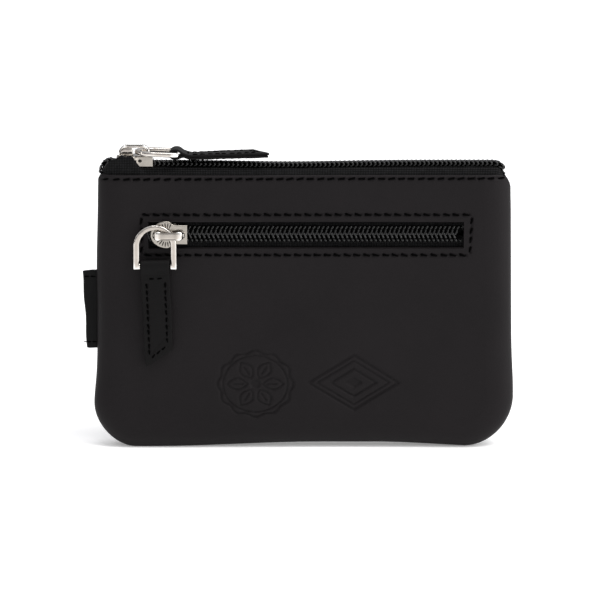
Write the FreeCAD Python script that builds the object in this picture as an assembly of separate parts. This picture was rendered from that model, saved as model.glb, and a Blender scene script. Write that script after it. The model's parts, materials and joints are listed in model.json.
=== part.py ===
import FreeCAD, Part
import math
import os

# A flat leather coin purse with a zipped mouth along its top and a zipped pocket in its front.
# Millimetres.  X runs along the purse, Y from its front (-Y) to its back (+Y), Z up.
# The parts are drawn about the middle of the seam at the bottom edge and moved to the frame's
# origin, the bottom centre of the whole object, when they are written.

V = FreeCAD.Vector

# ---------------------------------------------------------------- leather shell
WIDTH_BOTTOM = 130.0
WIDTH_TOP = 127.0
PANEL_H = 85.5
HALF_DEPTH = 7.0            # seam plane to the outer face of a panel
LEATHER_T = 1.6
EDGE_R = 5.0                # roll of the leather from a face to the side and bottom seam
BOTTOM_CORNER_R = 12.5
TOP_LEFT_R = 1.5
TOP_RIGHT_R = 3.5
BOTTOM_ARCH = 1.0           # the bottom edge rises a little in its middle
ALLOWANCE_W = 4.0           # seam allowance turned inside
ALLOWANCE_TOP = 70.5

# ---------------------------------------------------------------- linings
LINING_T = 0.3
DIVIDER_T = 0.35
DIVIDER_BEND_Z = 71.0       # above this the divider slopes forward to the top edge
DIVIDER_TOP_BEND_Z = 79.0
DIVIDER_TOP_Z = 84.5
DIVIDER_TOP_Y = -4.55
BACK_LINING_Y = 4.55
BACK_LINING_TOP_Z = 79.0
POCKET_LINING_Y = -5.35
POCKET_LINING_TOP_Z = 55.7

# ---------------------------------------------------------------- zips
TAPE_T = 0.5
TAPE_INNER_EDGE = 1.0       # from the zip's centre line
COIL_T = 2.0
COIL_PITCH = 1.4
TOOTH_W = 0.6
CHAIN_HALF_W = 2.45
SPINE_INNER = 1.6
TOOTH_REACH = 0.3           # how far a tooth passes the centre line
PARTING = 1.15              # sideways travel of a half where the slider's post parts it
PARTING_START = 1.8         # along the zip from the slider's centre
PARTING_END = -0.5

MAIN_ZIP_Z = 87.4           # outer face of the main zip's tape
MAIN_TAPE_FLAT_Y = 4.3      # the tape is flat to here, then turns down behind the leather
MAIN_TAPE_SHOULDER_Z = 86.3
MAIN_TAPE_FOOT_Z = 79.5
MAIN_TAPE_HALF_L = 58.0
MAIN_CHAIN_HALF_L = 60.5
TAIL_OUTER_X = 61.75        # tape ends turned down into the side seams
TAIL_START_X = 60.6
TAIL_HALF_W = 2.0
TAIL_FOOT_Z = 79.0

WINDOW_X0 = -48.0
WINDOW_X1 = 49.0
WINDOW_MID_Z = 67.2
WINDOW_H = 8.1
WINDOW_R = 0.8
POCKET_ZIP_Z = WINDOW_MID_Z + 0.35      # the zip sits a little high in its window
POCKET_TAPE_X = 56.0
POCKET_TAPE_REACH = 10.8    # centre line to the outer edge of a pocket tape
POCKET_TAPE_REACH_UP = 10.3
CHAIN_END_GAP = 0.4         # pocket chain to the window's ends

# ---------------------------------------------------------------- sliders
MAIN_SLIDER_X = -53.0
POCKET_SLIDER_X = -42.4
NOSE_L = 4.9
DISC_HALF_W = 4.2
TAIL_HALF_WIDTH = 2.95
NECK_U = 2.9                # where the body has narrowed to its tail
TAIL_U = 6.3
FLANGE_T = 0.4
FLANGE_START_U = 1.4
FLANGE_REACH = 3.6          # half width over the flanges, inside the pocket window
TOP_PLATE_W0 = 2.3
TOP_PLATE_W1 = 3.4
LOWER_PLATE_W0 = -1.6
LOWER_PLATE_W1 = -0.8
LOWER_PLATE_INSET = 0.7
FLANGE_W0 = 0.3
POST_U0 = -3.9
POST_U1 = -0.6
POST_HALF_W = 0.75
DISC_GROOVES = 6            # radial grooves pressed into each side of the disc
GROOVE_STEP = 15.0          # degrees
GROOVE_W = 0.34
GROOVE_DEPTH = 0.22
GROOVE_R0 = 2.1
GROOVE_R1 = 3.7
CROWN_U0 = -4.0
CROWN_U1 = 5.3
CROWN_HALF_W = 1.4
CROWN_LEG_T = 0.9
CROWN_T = 0.8
SLOT_H = 2.3
CROWN_ROUND_U = 2.3         # the crown's shoulders, outside
CROWN_ROUND_W = 2.0
CROWN_INNER_ROUND = 1.1
CROWN_EDGE_R = 0.5

# ---------------------------------------------------------------- pull rings and tabs
WIRE_R = 0.8
ARCH_R = 6.05
RING_H = 11.9               # arch top to bar, between wire centres
RING_CORNER_R = 1.2
MAIN_RING_U = 1.4           # where the ring's arch passes under the main crown
MAIN_RING_DIP = 2.4         # degrees below level, towards the bar
POCKET_CROSSING = 37.0      # degrees round the arch at which the ring passes under the crown
POCKET_RING_U = 1.4
TAB_W = 8.6
TAB_T = 2.2
TAB_HOLE_R = 0.95
TAB_LOOP_R = 1.95
TAB_NECK = 4.2              # the folded loop has closed by this distance from the bar
TAB_SLANT = 5.3             # one corner of the tab's end is this much shorter
POCKET_TAB_L = 31.4
MAIN_TAB_L = 28.5
POCKET_TAB_LEAN = 2.9       # degrees, towards the leather
POCKET_TAB_TURN = 1.7       # degrees, its foot to the right
MAIN_TAB_RISE = 1.5         # degrees above level
TAB_STITCH_INSET = 1.5

# ---------------------------------------------------------------- side loop
LOOP_Z0 = 31.0
LOOP_Z1 = 55.3
LOOP_LEAF_T = 0.925
LOOP_SLIT = 0.25
LOOP_FOLD_X = -68.0
LOOP_HINGE_X = -65.6
LOOP_ANCHOR_X0 = -63.9
LOOP_ANCHOR_X1 = -58.5
LOOP_CLEARANCE = 0.1
LOOP_STITCH_INSET = 1.9

# ---------------------------------------------------------------- sewing
STITCH_PITCH = 3.0
STITCH_L = 2.2
STITCH_W = 0.45
STITCH_H = 0.25
TOP_STITCH_DROP = 1.2       # below the panels' top edge
STITCH_GROOVE_D = 0.3       # the back seam lies in a groove, so that the back rests flat
STITCH_GROOVE_HALF_W = 0.4
WINDOW_STITCH_OUT = 2.15    # outside the pocket window
SEAM_STITCH_IN = 2.0        # in from the leather's inner face, on the allowance
TAB_STITCH_PITCH = 2.3
TAB_STITCH_L = 1.6

MAIN_SLOT_W = TOP_PLATE_W1 + SLOT_H / 2
POCKET_ZIP_Y = -(HALF_DEPTH - LEATHER_T)
LOOP_R = LOOP_LEAF_T + LOOP_SLIT / 2


# ================================================================ shared shapes
def block(x0, x1, y0, y1, z0, z1):
    return Part.makeBox(x1 - x0, y1 - y0, z1 - z0, V(x0, y0, z0))


def polygon_face(points):
    wire = Part.makePolygon(points + [points[0]])
    return Part.Face(wire)


def rotated(shape, centre, axis, degrees):
    turned = shape.copy()
    turned.rotate(centre, axis, degrees)
    return turned


def moved(shape, offset):
    shifted = shape.copy()
    shifted.translate(offset)
    return shifted


def ribbon(path, thickness, start_x, end_x):
    """A sheet of even thickness: path holds (y, z) points of one face, and the other face lies
    on the right of the direction of travel."""
    normals = []
    for (y0, z0), (y1, z1) in zip(path, path[1:]):
        run = math.hypot(y1 - y0, z1 - z0)
        normals.append(((z1 - z0) / run, -(y1 - y0) / run))
    other = []
    for index, (y, z) in enumerate(path):
        before = normals[max(index - 1, 0)]
        after = normals[min(index, len(normals) - 1)]
        mitre = 1 + before[0] * after[0] + before[1] * after[1]
        other.append((y + thickness * (before[0] + after[0]) / mitre,
                      z + thickness * (before[1] + after[1]) / mitre))
    outline = [V(start_x, y, z) for y, z in path + other[::-1]]
    return polygon_face(outline).extrude(V(end_x - start_x, 0, 0))


def stitch_bar(middle, along, outward, length=STITCH_L):
    """One thread stitch: a small bar lying on a surface."""
    across = outward.cross(along)
    half_l = along * (length / 2)
    half_w = across * (STITCH_W / 2)
    corners = [middle - half_l - half_w, middle + half_l - half_w,
               middle + half_l + half_w, middle - half_l + half_w]
    return polygon_face(corners).extrude(outward * STITCH_H)


def stitch_row(start, end, outward, pitch=STITCH_PITCH, length=STITCH_L):
    """Stitches centred along a straight line, as near to the pitch as fits."""
    run = end - start
    count = max(1, round(run.Length / pitch))
    along = V(run).normalize()
    step = run.Length / count
    return [stitch_bar(start + along * (step * (k + 0.5)), along, outward, length)
            for k in range(count)]


# ================================================================ leather panels
def half_width(z):
    return (WIDTH_BOTTOM + (WIDTH_TOP - WIDTH_BOTTOM) * z / PANEL_H) / 2


def outline_prism(inset, top_z, depth):
    """The purse's outline, drawn in by inset, from the seam plane to -Y by depth."""
    low = half_width(0) - inset
    high = half_width(top_z) - inset
    bottom = Part.Arc(V(-low, 0, inset), V(0, 0, inset + BOTTOM_ARCH), V(low, 0, inset)).toShape()
    sides = [Part.makeLine(V(low, 0, inset), V(high, 0, top_z)),
             Part.makeLine(V(high, 0, top_z), V(-high, 0, top_z)),
             Part.makeLine(V(-high, 0, top_z), V(-low, 0, inset))]
    solid = Part.Face(Part.Wire([bottom] + sides)).extrude(V(0, -depth, 0))
    corners = [edge for edge in solid.Edges
               if abs(edge.BoundBox.YLength - depth) < 0.01 and edge.BoundBox.ZMax < inset + 1]
    return solid.makeFillet(BOTTOM_CORNER_R - inset, corners)


def dished(inset, top_z):
    """One half of the purse as a full solid, its side and bottom edges rolled."""
    depth = HALF_DEPTH - inset
    solid = outline_prism(inset, top_z, depth)
    rolled = [edge for edge in solid.Edges
              if edge.BoundBox.YMax < 0.01 - depth and edge.BoundBox.ZMin < top_z - 1]
    return solid.makeFillet(EDGE_R - inset, rolled)


def cavity():
    return dished(LEATHER_T, PANEL_H + 10)


def top_corner_trim():
    """Keeps the rounded top corners of a panel."""
    top = half_width(PANEL_H)
    plate = block(-top - 5, top + 5, -HALF_DEPTH - 1, HALF_DEPTH + 1, -1, PANEL_H)
    tools = []
    for side, radius in ((-1, TOP_LEFT_R), (1, TOP_RIGHT_R)):
        corner_x = side * top
        square = block(min(corner_x - side * radius, corner_x + side * 6),
                       max(corner_x - side * radius, corner_x + side * 6),
                       -HALF_DEPTH - 1, HALF_DEPTH + 1, PANEL_H - radius, PANEL_H + 1)
        rod = Part.makeCylinder(radius, 2 * HALF_DEPTH + 2,
                                V(corner_x - side * radius, -HALF_DEPTH - 1, PANEL_H - radius),
                                V(0, 1, 0))
        tools.append(square.cut(rod))
    return plate.cut(tools)


def seam_allowance(y0, y1):
    """The strip of leather turned inside along the sides and bottom."""
    outer = outline_prism(LEATHER_T / 2, ALLOWANCE_TOP, y1 - y0)
    inner = outline_prism(LEATHER_T + ALLOWANCE_W, ALLOWANCE_TOP + 5, y1 - y0)
    return moved(outer.cut(inner), V(0, y1, 0))


def loop_notch():
    """Room in the side seam for the loop's two leaves."""
    gap = LOOP_R + LOOP_CLEARANCE
    return block(-half_width(0) - 1, LOOP_ANCHOR_X1 + 1, -gap, gap,
                 LOOP_Z0 - LOOP_CLEARANCE, LOOP_Z1 + LOOP_CLEARANCE)


def window_prism(grow):
    x0 = WINDOW_X0 - grow
    x1 = WINDOW_X1 + grow
    half = WINDOW_H / 2 + grow
    solid = block(x0, x1, -HALF_DEPTH - 1, POCKET_ZIP_Y + 1, WINDOW_MID_Z - half, WINDOW_MID_Z + half)
    corners = [edge for edge in solid.Edges if edge.BoundBox.YLength > 1]
    return solid.makeFillet(WINDOW_R, corners)


def front_panel():
    shell = dished(0, PANEL_H).cut(cavity()).common(top_corner_trim())
    shell = shell.fuse(seam_allowance(-DIVIDER_T - LEATHER_T, -DIVIDER_T)).removeSplitter()
    return shell.cut([window_prism(0), loop_notch()])


def back_panel():
    trimmed = dished(0, PANEL_H).cut(cavity()).common(top_corner_trim())
    shell = trimmed.mirror(V(0, 0, 0), V(0, 1, 0))
    shell = shell.fuse(seam_allowance(0, LEATHER_T)).removeSplitter()
    return shell.cut([loop_notch(), back_stitch_groove()])


def top_stitch_reach():
    return half_width(PANEL_H) - EDGE_R


def back_stitch_groove():
    reach = top_stitch_reach() + 0.5
    z = PANEL_H - TOP_STITCH_DROP
    return block(-reach, reach, HALF_DEPTH - STITCH_GROOVE_D, HALF_DEPTH + 1,
                 z - STITCH_GROOVE_HALF_W, z + STITCH_GROOVE_HALF_W)


# ================================================================ linings
def pocket_divider():
    """The wall between the pocket and the main compartment, sewn in with the panels."""
    path = [(0, LEATHER_T), (0, DIVIDER_BEND_Z), (DIVIDER_TOP_Y, DIVIDER_TOP_BEND_Z),
            (DIVIDER_TOP_Y, DIVIDER_TOP_Z)]
    sheet = ribbon(path[::-1], DIVIDER_T, -WIDTH_BOTTOM / 2, WIDTH_BOTTOM / 2)
    return sheet.common(cavity()).cut(loop_notch())


def pocket_lining():
    sheet = block(-WIDTH_BOTTOM / 2, WIDTH_BOTTOM / 2, POCKET_LINING_Y, POCKET_LINING_Y + LINING_T,
                  0, POCKET_LINING_TOP_Z)
    return sheet.common(cavity())


def back_lining():
    sheet = block(-WIDTH_BOTTOM / 2, WIDTH_BOTTOM / 2, BACK_LINING_Y, BACK_LINING_Y + LINING_T,
                  0, BACK_LINING_TOP_Z)
    return sheet.common(cavity().mirror(V(0, 0, 0), V(0, 1, 0)))


# ================================================================ zips
def on_main_zip(shape, along_x):
    """From a zip's own frame (x along it, y across it, z out of it) to the purse's mouth."""
    return moved(shape, V(along_x, 0, MAIN_ZIP_Z))


def on_pocket_zip(shape, along_x):
    """From a zip's own frame to the pocket in the front panel, where out is -Y and across is Z."""
    turned = rotated(shape, V(0, 0, 0), V(1, 0, 0), 90)
    return moved(turned, V(along_x, POCKET_ZIP_Y, POCKET_ZIP_Z))


def parting(x):
    """How far the slider has pushed a half of the chain aside, x from the slider's centre."""
    share = (PARTING_START - x) / (PARTING_START - PARTING_END)
    return PARTING * min(1, max(0, share))


def coil_half(side, slider_x, x0, x1):
    """One half of a closed chain: a spine with a tooth at every turn of the coil."""
    def point(x, across):
        return V(x, side * (across + parting(x - slider_x)), 0)

    phase = 0.25 if side > 0 else 0.75
    outer = [point(x0, CHAIN_HALF_W), point(slider_x + PARTING_END, CHAIN_HALF_W),
             point(slider_x + PARTING_START, CHAIN_HALF_W), point(x1, CHAIN_HALF_W)]
    inner = [point(x1, SPINE_INNER)]
    teeth = int((x1 - x0) / COIL_PITCH)
    for k in reversed(range(teeth)):
        middle = x0 + COIL_PITCH * (k + phase) + TOOTH_W / 2
        right = middle + TOOTH_W / 2
        left = middle - TOOTH_W / 2
        tip = -TOOTH_REACH
        inner += [point(right, SPINE_INNER), point(right, tip), point(left, tip),
                  point(left, SPINE_INNER)]
    inner.append(point(x0, SPINE_INNER))
    return polygon_face(outer + inner).extrude(V(0, 0, COIL_T))


def main_tape(side):
    path = [(TAPE_INNER_EDGE, MAIN_ZIP_Z), (MAIN_TAPE_FLAT_Y, MAIN_ZIP_Z),
            (-POCKET_ZIP_Y, MAIN_TAPE_SHOULDER_Z), (-POCKET_ZIP_Y, MAIN_TAPE_FOOT_Z)]
    tape = ribbon(path, TAPE_T, -MAIN_TAPE_HALF_L, MAIN_TAPE_HALF_L)
    return tape if side > 0 else tape.mirror(V(0, 0, 0), V(0, 1, 0))


def main_coil(side):
    half = coil_half(side, MAIN_SLIDER_X, -MAIN_CHAIN_HALF_L, MAIN_CHAIN_HALF_L)
    return on_main_zip(half, 0)


def main_tail(side):
    """The two tape ends together, turned down into a side seam."""
    path = [(TAIL_START_X, MAIN_ZIP_Z), (TAIL_OUTER_X - TAPE_T, MAIN_ZIP_Z),
            (TAIL_OUTER_X, MAIN_ZIP_Z - TAPE_T), (TAIL_OUTER_X, TAIL_FOOT_Z)]
    strip = ribbon(path, TAPE_T, -TAIL_HALF_W, TAIL_HALF_W)
    turned = rotated(strip, V(0, 0, 0), V(0, 0, 1), -90)
    return turned if side > 0 else turned.mirror(V(0, 0, 0), V(1, 0, 0))


def pocket_tape(side):
    reach = POCKET_TAPE_REACH_UP if side > 0 else POCKET_TAPE_REACH
    edges = sorted([side * TAPE_INNER_EDGE, side * reach])
    tape = block(-POCKET_TAPE_X, POCKET_TAPE_X, edges[0], edges[1], -TAPE_T, 0)
    return on_pocket_zip(tape, 0)


def pocket_coil(side):
    half = coil_half(side, POCKET_SLIDER_X, WINDOW_X0 + CHAIN_END_GAP, WINDOW_X1 - CHAIN_END_GAP)
    return on_pocket_zip(half, 0)


# ================================================================ sliders
def slider_outline(inset):
    """A round nose that narrows in an S-curve to a straight tail, pointing along +X."""
    wide = DISC_HALF_W - inset
    narrow = TAIL_HALF_WIDTH - inset
    nose = Part.Ellipse(V(0, 0, 0), NOSE_L - inset, wide)
    nose_arc = Part.Arc(nose, math.pi / 2, 3 * math.pi / 2).toShape()
    edges = [nose_arc]
    for side in (1, -1):
        neck = Part.BezierCurve()
        neck.setPoles([V(0, side * wide, 0), V(1.3, side * wide, 0),
                       V(1.6, side * narrow, 0), V(NECK_U, side * narrow, 0)])
        edges.append(neck.toShape())
        edges.append(Part.makeLine(V(NECK_U, side * narrow, 0), V(TAIL_U, side * narrow, 0)))
    edges.append(Part.makeLine(V(TAIL_U, narrow, 0), V(TAIL_U, -narrow, 0)))
    return Part.Face(Part.Wire(Part.__sortEdges__(edges)))


def plate(inset, w0, w1):
    return moved(slider_outline(inset), V(0, 0, w0)).extrude(V(0, 0, w1 - w0))


def disc_grooves():
    """Short radial grooves on both sides of the crown, inside a plain rim."""
    grooves = []
    for side in (1, -1):
        for k in range(DISC_GROOVES):
            angle = side * (90 + GROOVE_STEP * (k - (DISC_GROOVES - 1) / 2 + 1))
            groove = block(GROOVE_R0, GROOVE_R1, -GROOVE_W / 2, GROOVE_W / 2,
                           TOP_PLATE_W1 - GROOVE_DEPTH, TOP_PLATE_W1 + 1)
            grooves.append(rotated(groove, V(0, 0, 0), V(0, 0, 1), angle))
    return grooves


def slider_body():
    top = plate(0, TOP_PLATE_W0, TOP_PLATE_W1)
    rim = [edge for edge in top.Edges if edge.BoundBox.ZMin > TOP_PLATE_W1 - 0.01]
    top = top.makeFillet(0.3, rim)
    lower = plate(LOWER_PLATE_INSET, LOWER_PLATE_W0, LOWER_PLATE_W1)
    band = plate(0, FLANGE_W0, TOP_PLATE_W0).cut(plate(FLANGE_T, FLANGE_W0, TOP_PLATE_W0))
    lane = block(FLANGE_START_U, TAIL_U + 1, -(TAIL_HALF_WIDTH - FLANGE_T), TAIL_HALF_WIDTH - FLANGE_T,
                 FLANGE_W0 - 1, TOP_PLATE_W0)
    channel = block(FLANGE_START_U, TAIL_U, -FLANGE_REACH, FLANGE_REACH, FLANGE_W0, TOP_PLATE_W0)
    flanges = band.common(channel).cut(lane)
    post = block(POST_U0, POST_U1, -POST_HALF_W, POST_HALF_W, LOWER_PLATE_W1, TOP_PLATE_W0)
    post = post.makeFillet(0.5, [edge for edge in post.Edges if edge.BoundBox.ZLength > 1])
    body = top.fuse([lower, flanges, post]).removeSplitter()
    return body.cut(disc_grooves())


def rounded_corner(start, corner, end):
    """A quarter turn from start to end, tangent to the lines that meet at the corner."""
    pull = 0.5523
    curve = Part.BezierCurve()
    curve.setPoles([start, start + (corner - start) * pull, end + (corner - end) * pull, end])
    return curve.toShape()


def arch_edges(u0, u1, top, round_u, round_w):
    """The outline of an arch that stands on the top plate: two legs, two shoulders and a deck."""
    def at(u, w):
        return V(u, -CROWN_HALF_W, w)

    return [Part.makeLine(at(u0, TOP_PLATE_W1), at(u0, top - round_w)),
            rounded_corner(at(u0, top - round_w), at(u0, top), at(u0 + round_u, top)),
            Part.makeLine(at(u0 + round_u, top), at(u1 - round_u, top)),
            rounded_corner(at(u1 - round_u, top), at(u1, top), at(u1, top - round_w)),
            Part.makeLine(at(u1, top - round_w), at(u1, TOP_PLATE_W1))]


def slider_crown():
    """The bridge over the slider that holds the pull ring."""
    under = TOP_PLATE_W1 + SLOT_H
    top = under + CROWN_T
    inner_u0 = CROWN_U0 + CROWN_LEG_T
    inner_u1 = CROWN_U1 - CROWN_LEG_T
    outer = arch_edges(CROWN_U0, CROWN_U1, top, CROWN_ROUND_U, CROWN_ROUND_W)
    inner = arch_edges(inner_u0, inner_u1, under, CROWN_INNER_ROUND, CROWN_INNER_ROUND)
    feet = [Part.makeLine(V(a, -CROWN_HALF_W, TOP_PLATE_W1), V(b, -CROWN_HALF_W, TOP_PLATE_W1))
            for a, b in ((CROWN_U0, inner_u0), (inner_u1, CROWN_U1))]
    outline = Part.Wire(Part.__sortEdges__(outer + inner + feet))
    bridge = Part.Face(outline).extrude(V(0, 2 * CROWN_HALF_W, 0))
    rims = []
    for edge in bridge.Edges:
        box = edge.BoundBox
        on_outside = box.XMin < CROWN_U0 + 0.01 or box.XMax > CROWN_U1 - 0.01 or box.ZMax > top - 0.01
        if on_outside and box.YLength < 0.01 and box.ZMax > TOP_PLATE_W1 + 0.01:
            rims.append(edge)
    return bridge.makeFillet(CROWN_EDGE_R, rims)


# ================================================================ pull rings and tabs
def ring():
    """A D-shaped wire ring, arch top at the origin, hanging along -Z with its bar along X."""
    centre_z = -ARCH_R
    corner = RING_CORNER_R
    foot = -RING_H
    diagonal = corner * math.sqrt(0.5)
    spine = [Part.Arc(V(-ARCH_R, 0, centre_z), V(0, 0, 0), V(ARCH_R, 0, centre_z)).toShape()]
    for side in (1, -1):
        leg_x = side * ARCH_R
        turn_x = side * (ARCH_R - corner)
        spine.append(Part.makeLine(V(leg_x, 0, centre_z), V(leg_x, 0, foot + corner)))
        spine.append(Part.Arc(V(leg_x, 0, foot + corner),
                              V(turn_x + side * diagonal, 0, foot + corner - diagonal),
                              V(turn_x, 0, foot)).toShape())
    spine.append(Part.makeLine(V(ARCH_R - corner, 0, foot), V(corner - ARCH_R, 0, foot)))
    path = Part.Wire(Part.__sortEdges__(spine))
    start = path.OrderedVertexes[0].Point
    direction = path.OrderedEdges[0].tangentAt(path.OrderedEdges[0].FirstParameter)
    section = Part.Wire(Part.makeCircle(WIRE_R, start, direction))
    return path.makePipeShell([section], True, True)


def tab(length):
    """A strip folded round the ring's bar, which lies along X at the origin; it hangs along -Z."""
    half_t = TAB_T / 2
    half_w = TAB_W / 2
    loop = Part.makeCylinder(TAB_LOOP_R, TAB_W, V(-half_w, 0, 0), V(1, 0, 0))
    neck = [V(-half_w, -TAB_LOOP_R * 0.95, -0.6), V(-half_w, -half_t, -TAB_NECK),
            V(-half_w, half_t, -TAB_NECK), V(-half_w, TAB_LOOP_R * 0.95, -0.6)]
    funnel = polygon_face(neck).extrude(V(TAB_W, 0, 0))
    blade = polygon_face([V(-half_w, -half_t, -TAB_NECK), V(-half_w, -half_t, -length),
                          V(half_w, -half_t, -length + TAB_SLANT), V(half_w, -half_t, -TAB_NECK)])
    strip = blade.extrude(V(0, TAB_T, 0))
    hole = Part.makeCylinder(TAB_HOLE_R, TAB_W + 2, V(-half_w - 1, 0, 0), V(1, 0, 0))
    return loop.fuse([funnel, strip]).removeSplitter().cut(hole)


def tab_stitching(length):
    """Two long rows that run in from the end of the tab and one short row near the fold."""
    half_t = TAB_T / 2
    side_x = TAB_W / 2 - TAB_STITCH_INSET
    top_z = -TAB_NECK - 0.6
    left_z = -length + 3.4
    right_z = left_z + TAB_SLANT * 0.66
    stitches = []
    for out in (-1, 1):
        face = V(0, out, 0)
        y = out * half_t
        rows = [(V(-side_x, y, top_z - 1), V(-side_x, y, left_z)),
                (V(side_x, y, top_z - 1), V(side_x, y, right_z)),
                (V(-side_x + 0.6, y, left_z - 0.3), V(side_x - 0.6, y, right_z - 0.3)),
                (V(-side_x + 0.6, y, top_z), V(side_x - 0.6, y, top_z))]
        for start, end in rows:
            stitches += stitch_row(start, end, face, TAB_STITCH_PITCH, TAB_STITCH_L)
    return Part.makeCompound(stitches)


def lie_to_right(shape):
    """From hanging along -Z with its face to -Y, to lying along +X with its face up."""
    turned = rotated(shape, V(0, 0, 0), V(1, 0, 0), -90)
    return rotated(turned, V(0, 0, 0), V(0, 0, 1), 90)


MAIN_SLOT = V(MAIN_SLIDER_X + MAIN_RING_U, 0, MAIN_ZIP_Z + MAIN_SLOT_W)
MAIN_BAR = MAIN_SLOT + V(RING_H * math.cos(math.radians(MAIN_RING_DIP)), 0,
                         -RING_H * math.sin(math.radians(MAIN_RING_DIP)))
CROSSING = math.radians(POCKET_CROSSING)
POCKET_SLOT = V(POCKET_SLIDER_X + POCKET_RING_U, POCKET_ZIP_Y - MAIN_SLOT_W, POCKET_ZIP_Z)
POCKET_RING_TOP = POCKET_SLOT + V(-ARCH_R * math.cos(CROSSING), 0,
                                  ARCH_R - ARCH_R * math.sin(CROSSING))
POCKET_BAR = POCKET_RING_TOP - V(0, 0, RING_H)


def main_ring():
    flat = moved(lie_to_right(ring()), MAIN_SLOT)
    return rotated(flat, MAIN_SLOT, V(0, 1, 0), MAIN_RING_DIP)


def pocket_ring():
    return moved(ring(), POCKET_RING_TOP)


def on_main_bar(shape):
    flat = moved(lie_to_right(shape), MAIN_BAR)
    return rotated(flat, MAIN_BAR, V(0, 1, 0), -MAIN_TAB_RISE)


def on_pocket_bar(shape):
    hung = moved(shape, POCKET_BAR)
    leaned = rotated(hung, POCKET_BAR, V(1, 0, 0), POCKET_TAB_LEAN)
    return rotated(leaned, POCKET_BAR, V(0, 1, 0), -POCKET_TAB_TURN)


# ================================================================ side loop
def side_loop():
    """A strap folded flat, its fold outwards, hinged where it enters the side seam."""
    height = LOOP_Z1 - LOOP_Z0
    fold_x = LOOP_FOLD_X + LOOP_R
    ends = [Part.makeCylinder(LOOP_R, height, V(x, 0, LOOP_Z0)) for x in (fold_x, LOOP_HINGE_X)]
    middle = block(fold_x, LOOP_HINGE_X, -LOOP_R, LOOP_R, LOOP_Z0, LOOP_Z1)
    slit = block(fold_x, LOOP_HINGE_X + LOOP_R + 1, -LOOP_SLIT / 2, LOOP_SLIT / 2,
                 LOOP_Z0 - 1, LOOP_Z1 + 1)
    return middle.fuse(ends).removeSplitter().cut(slit)


def side_loop_anchor():
    """The loop's two ends, held between the panels' seam allowances."""
    leaves = [block(LOOP_ANCHOR_X0, LOOP_ANCHOR_X1, min(y0, y1), max(y0, y1), LOOP_Z0, LOOP_Z1)
              for y0, y1 in ((-LOOP_R, -LOOP_SLIT / 2), (LOOP_SLIT / 2, LOOP_R))]
    return Part.makeCompound(leaves)


def side_loop_stitching():
    stitches = []
    for out in (-1, 1):
        for z in (LOOP_Z0 + LOOP_STITCH_INSET, LOOP_Z1 - LOOP_STITCH_INSET):
            middle = V((LOOP_FOLD_X + LOOP_R + LOOP_HINGE_X) / 2, out * LOOP_R, z)
            stitches.append(stitch_bar(middle, V(1, 0, 0), V(0, out, 0), TAB_STITCH_L))
    return Part.makeCompound(stitches)


# ================================================================ seams
def top_edge_stitching(side):
    reach = top_stitch_reach()
    z = PANEL_H - TOP_STITCH_DROP
    y = HALF_DEPTH - STITCH_GROOVE_D if side > 0 else -HALF_DEPTH
    return Part.makeCompound(stitch_row(V(-reach, y, z), V(reach, y, z), V(0, side, 0)))


def window_stitching():
    x0 = WINDOW_X0 - WINDOW_STITCH_OUT
    x1 = WINDOW_X1 + WINDOW_STITCH_OUT
    z0 = WINDOW_MID_Z - WINDOW_H / 2 - WINDOW_STITCH_OUT
    z1 = WINDOW_MID_Z + WINDOW_H / 2 + WINDOW_STITCH_OUT
    corners = [V(x0, -HALF_DEPTH, z0), V(x1, -HALF_DEPTH, z0),
               V(x1, -HALF_DEPTH, z1), V(x0, -HALF_DEPTH, z1)]
    stitches = []
    for start, end in zip(corners, corners[1:] + corners[:1]):
        stitches += stitch_row(start, end, V(0, -1, 0))
    return Part.makeCompound(stitches)


def perimeter_stitching():
    """The seam that joins the panels, seen on the turned-in allowance."""
    inset = LEATHER_T + SEAM_STITCH_IN
    y = -DIVIDER_T - LEATHER_T
    low_x = half_width(0) - inset
    corner = BOTTOM_CORNER_R - inset
    outward = V(0, -1, 0)
    stitches = []
    for side in (-1, 1):
        top = V(side * (half_width(ALLOWANCE_TOP) - inset), y, ALLOWANCE_TOP)
        foot = V(side * (half_width(BOTTOM_CORNER_R) - inset), y, BOTTOM_CORNER_R)
        for bar in stitch_row(top, foot, outward):
            middle_z = bar.BoundBox.Center.z
            beside_loop = side < 0 and LOOP_Z0 - 2 < middle_z < LOOP_Z1 + 2
            if not beside_loop:
                stitches.append(bar)
        centre = V(side * (low_x - corner), y, inset + corner)
        for degrees in (20, 45, 70):
            angle = math.radians(degrees)
            spoke = V(side * math.cos(angle), 0, -math.sin(angle))
            along = V(side * math.sin(angle), 0, math.cos(angle))
            stitches.append(stitch_bar(centre + spoke * corner, along, outward))
    reach = low_x - corner
    stitches += stitch_row(V(-reach, y, inset + BOTTOM_ARCH / 2), V(reach, y, inset + BOTTOM_ARCH / 2),
                           outward)
    return Part.makeCompound(stitches)


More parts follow.
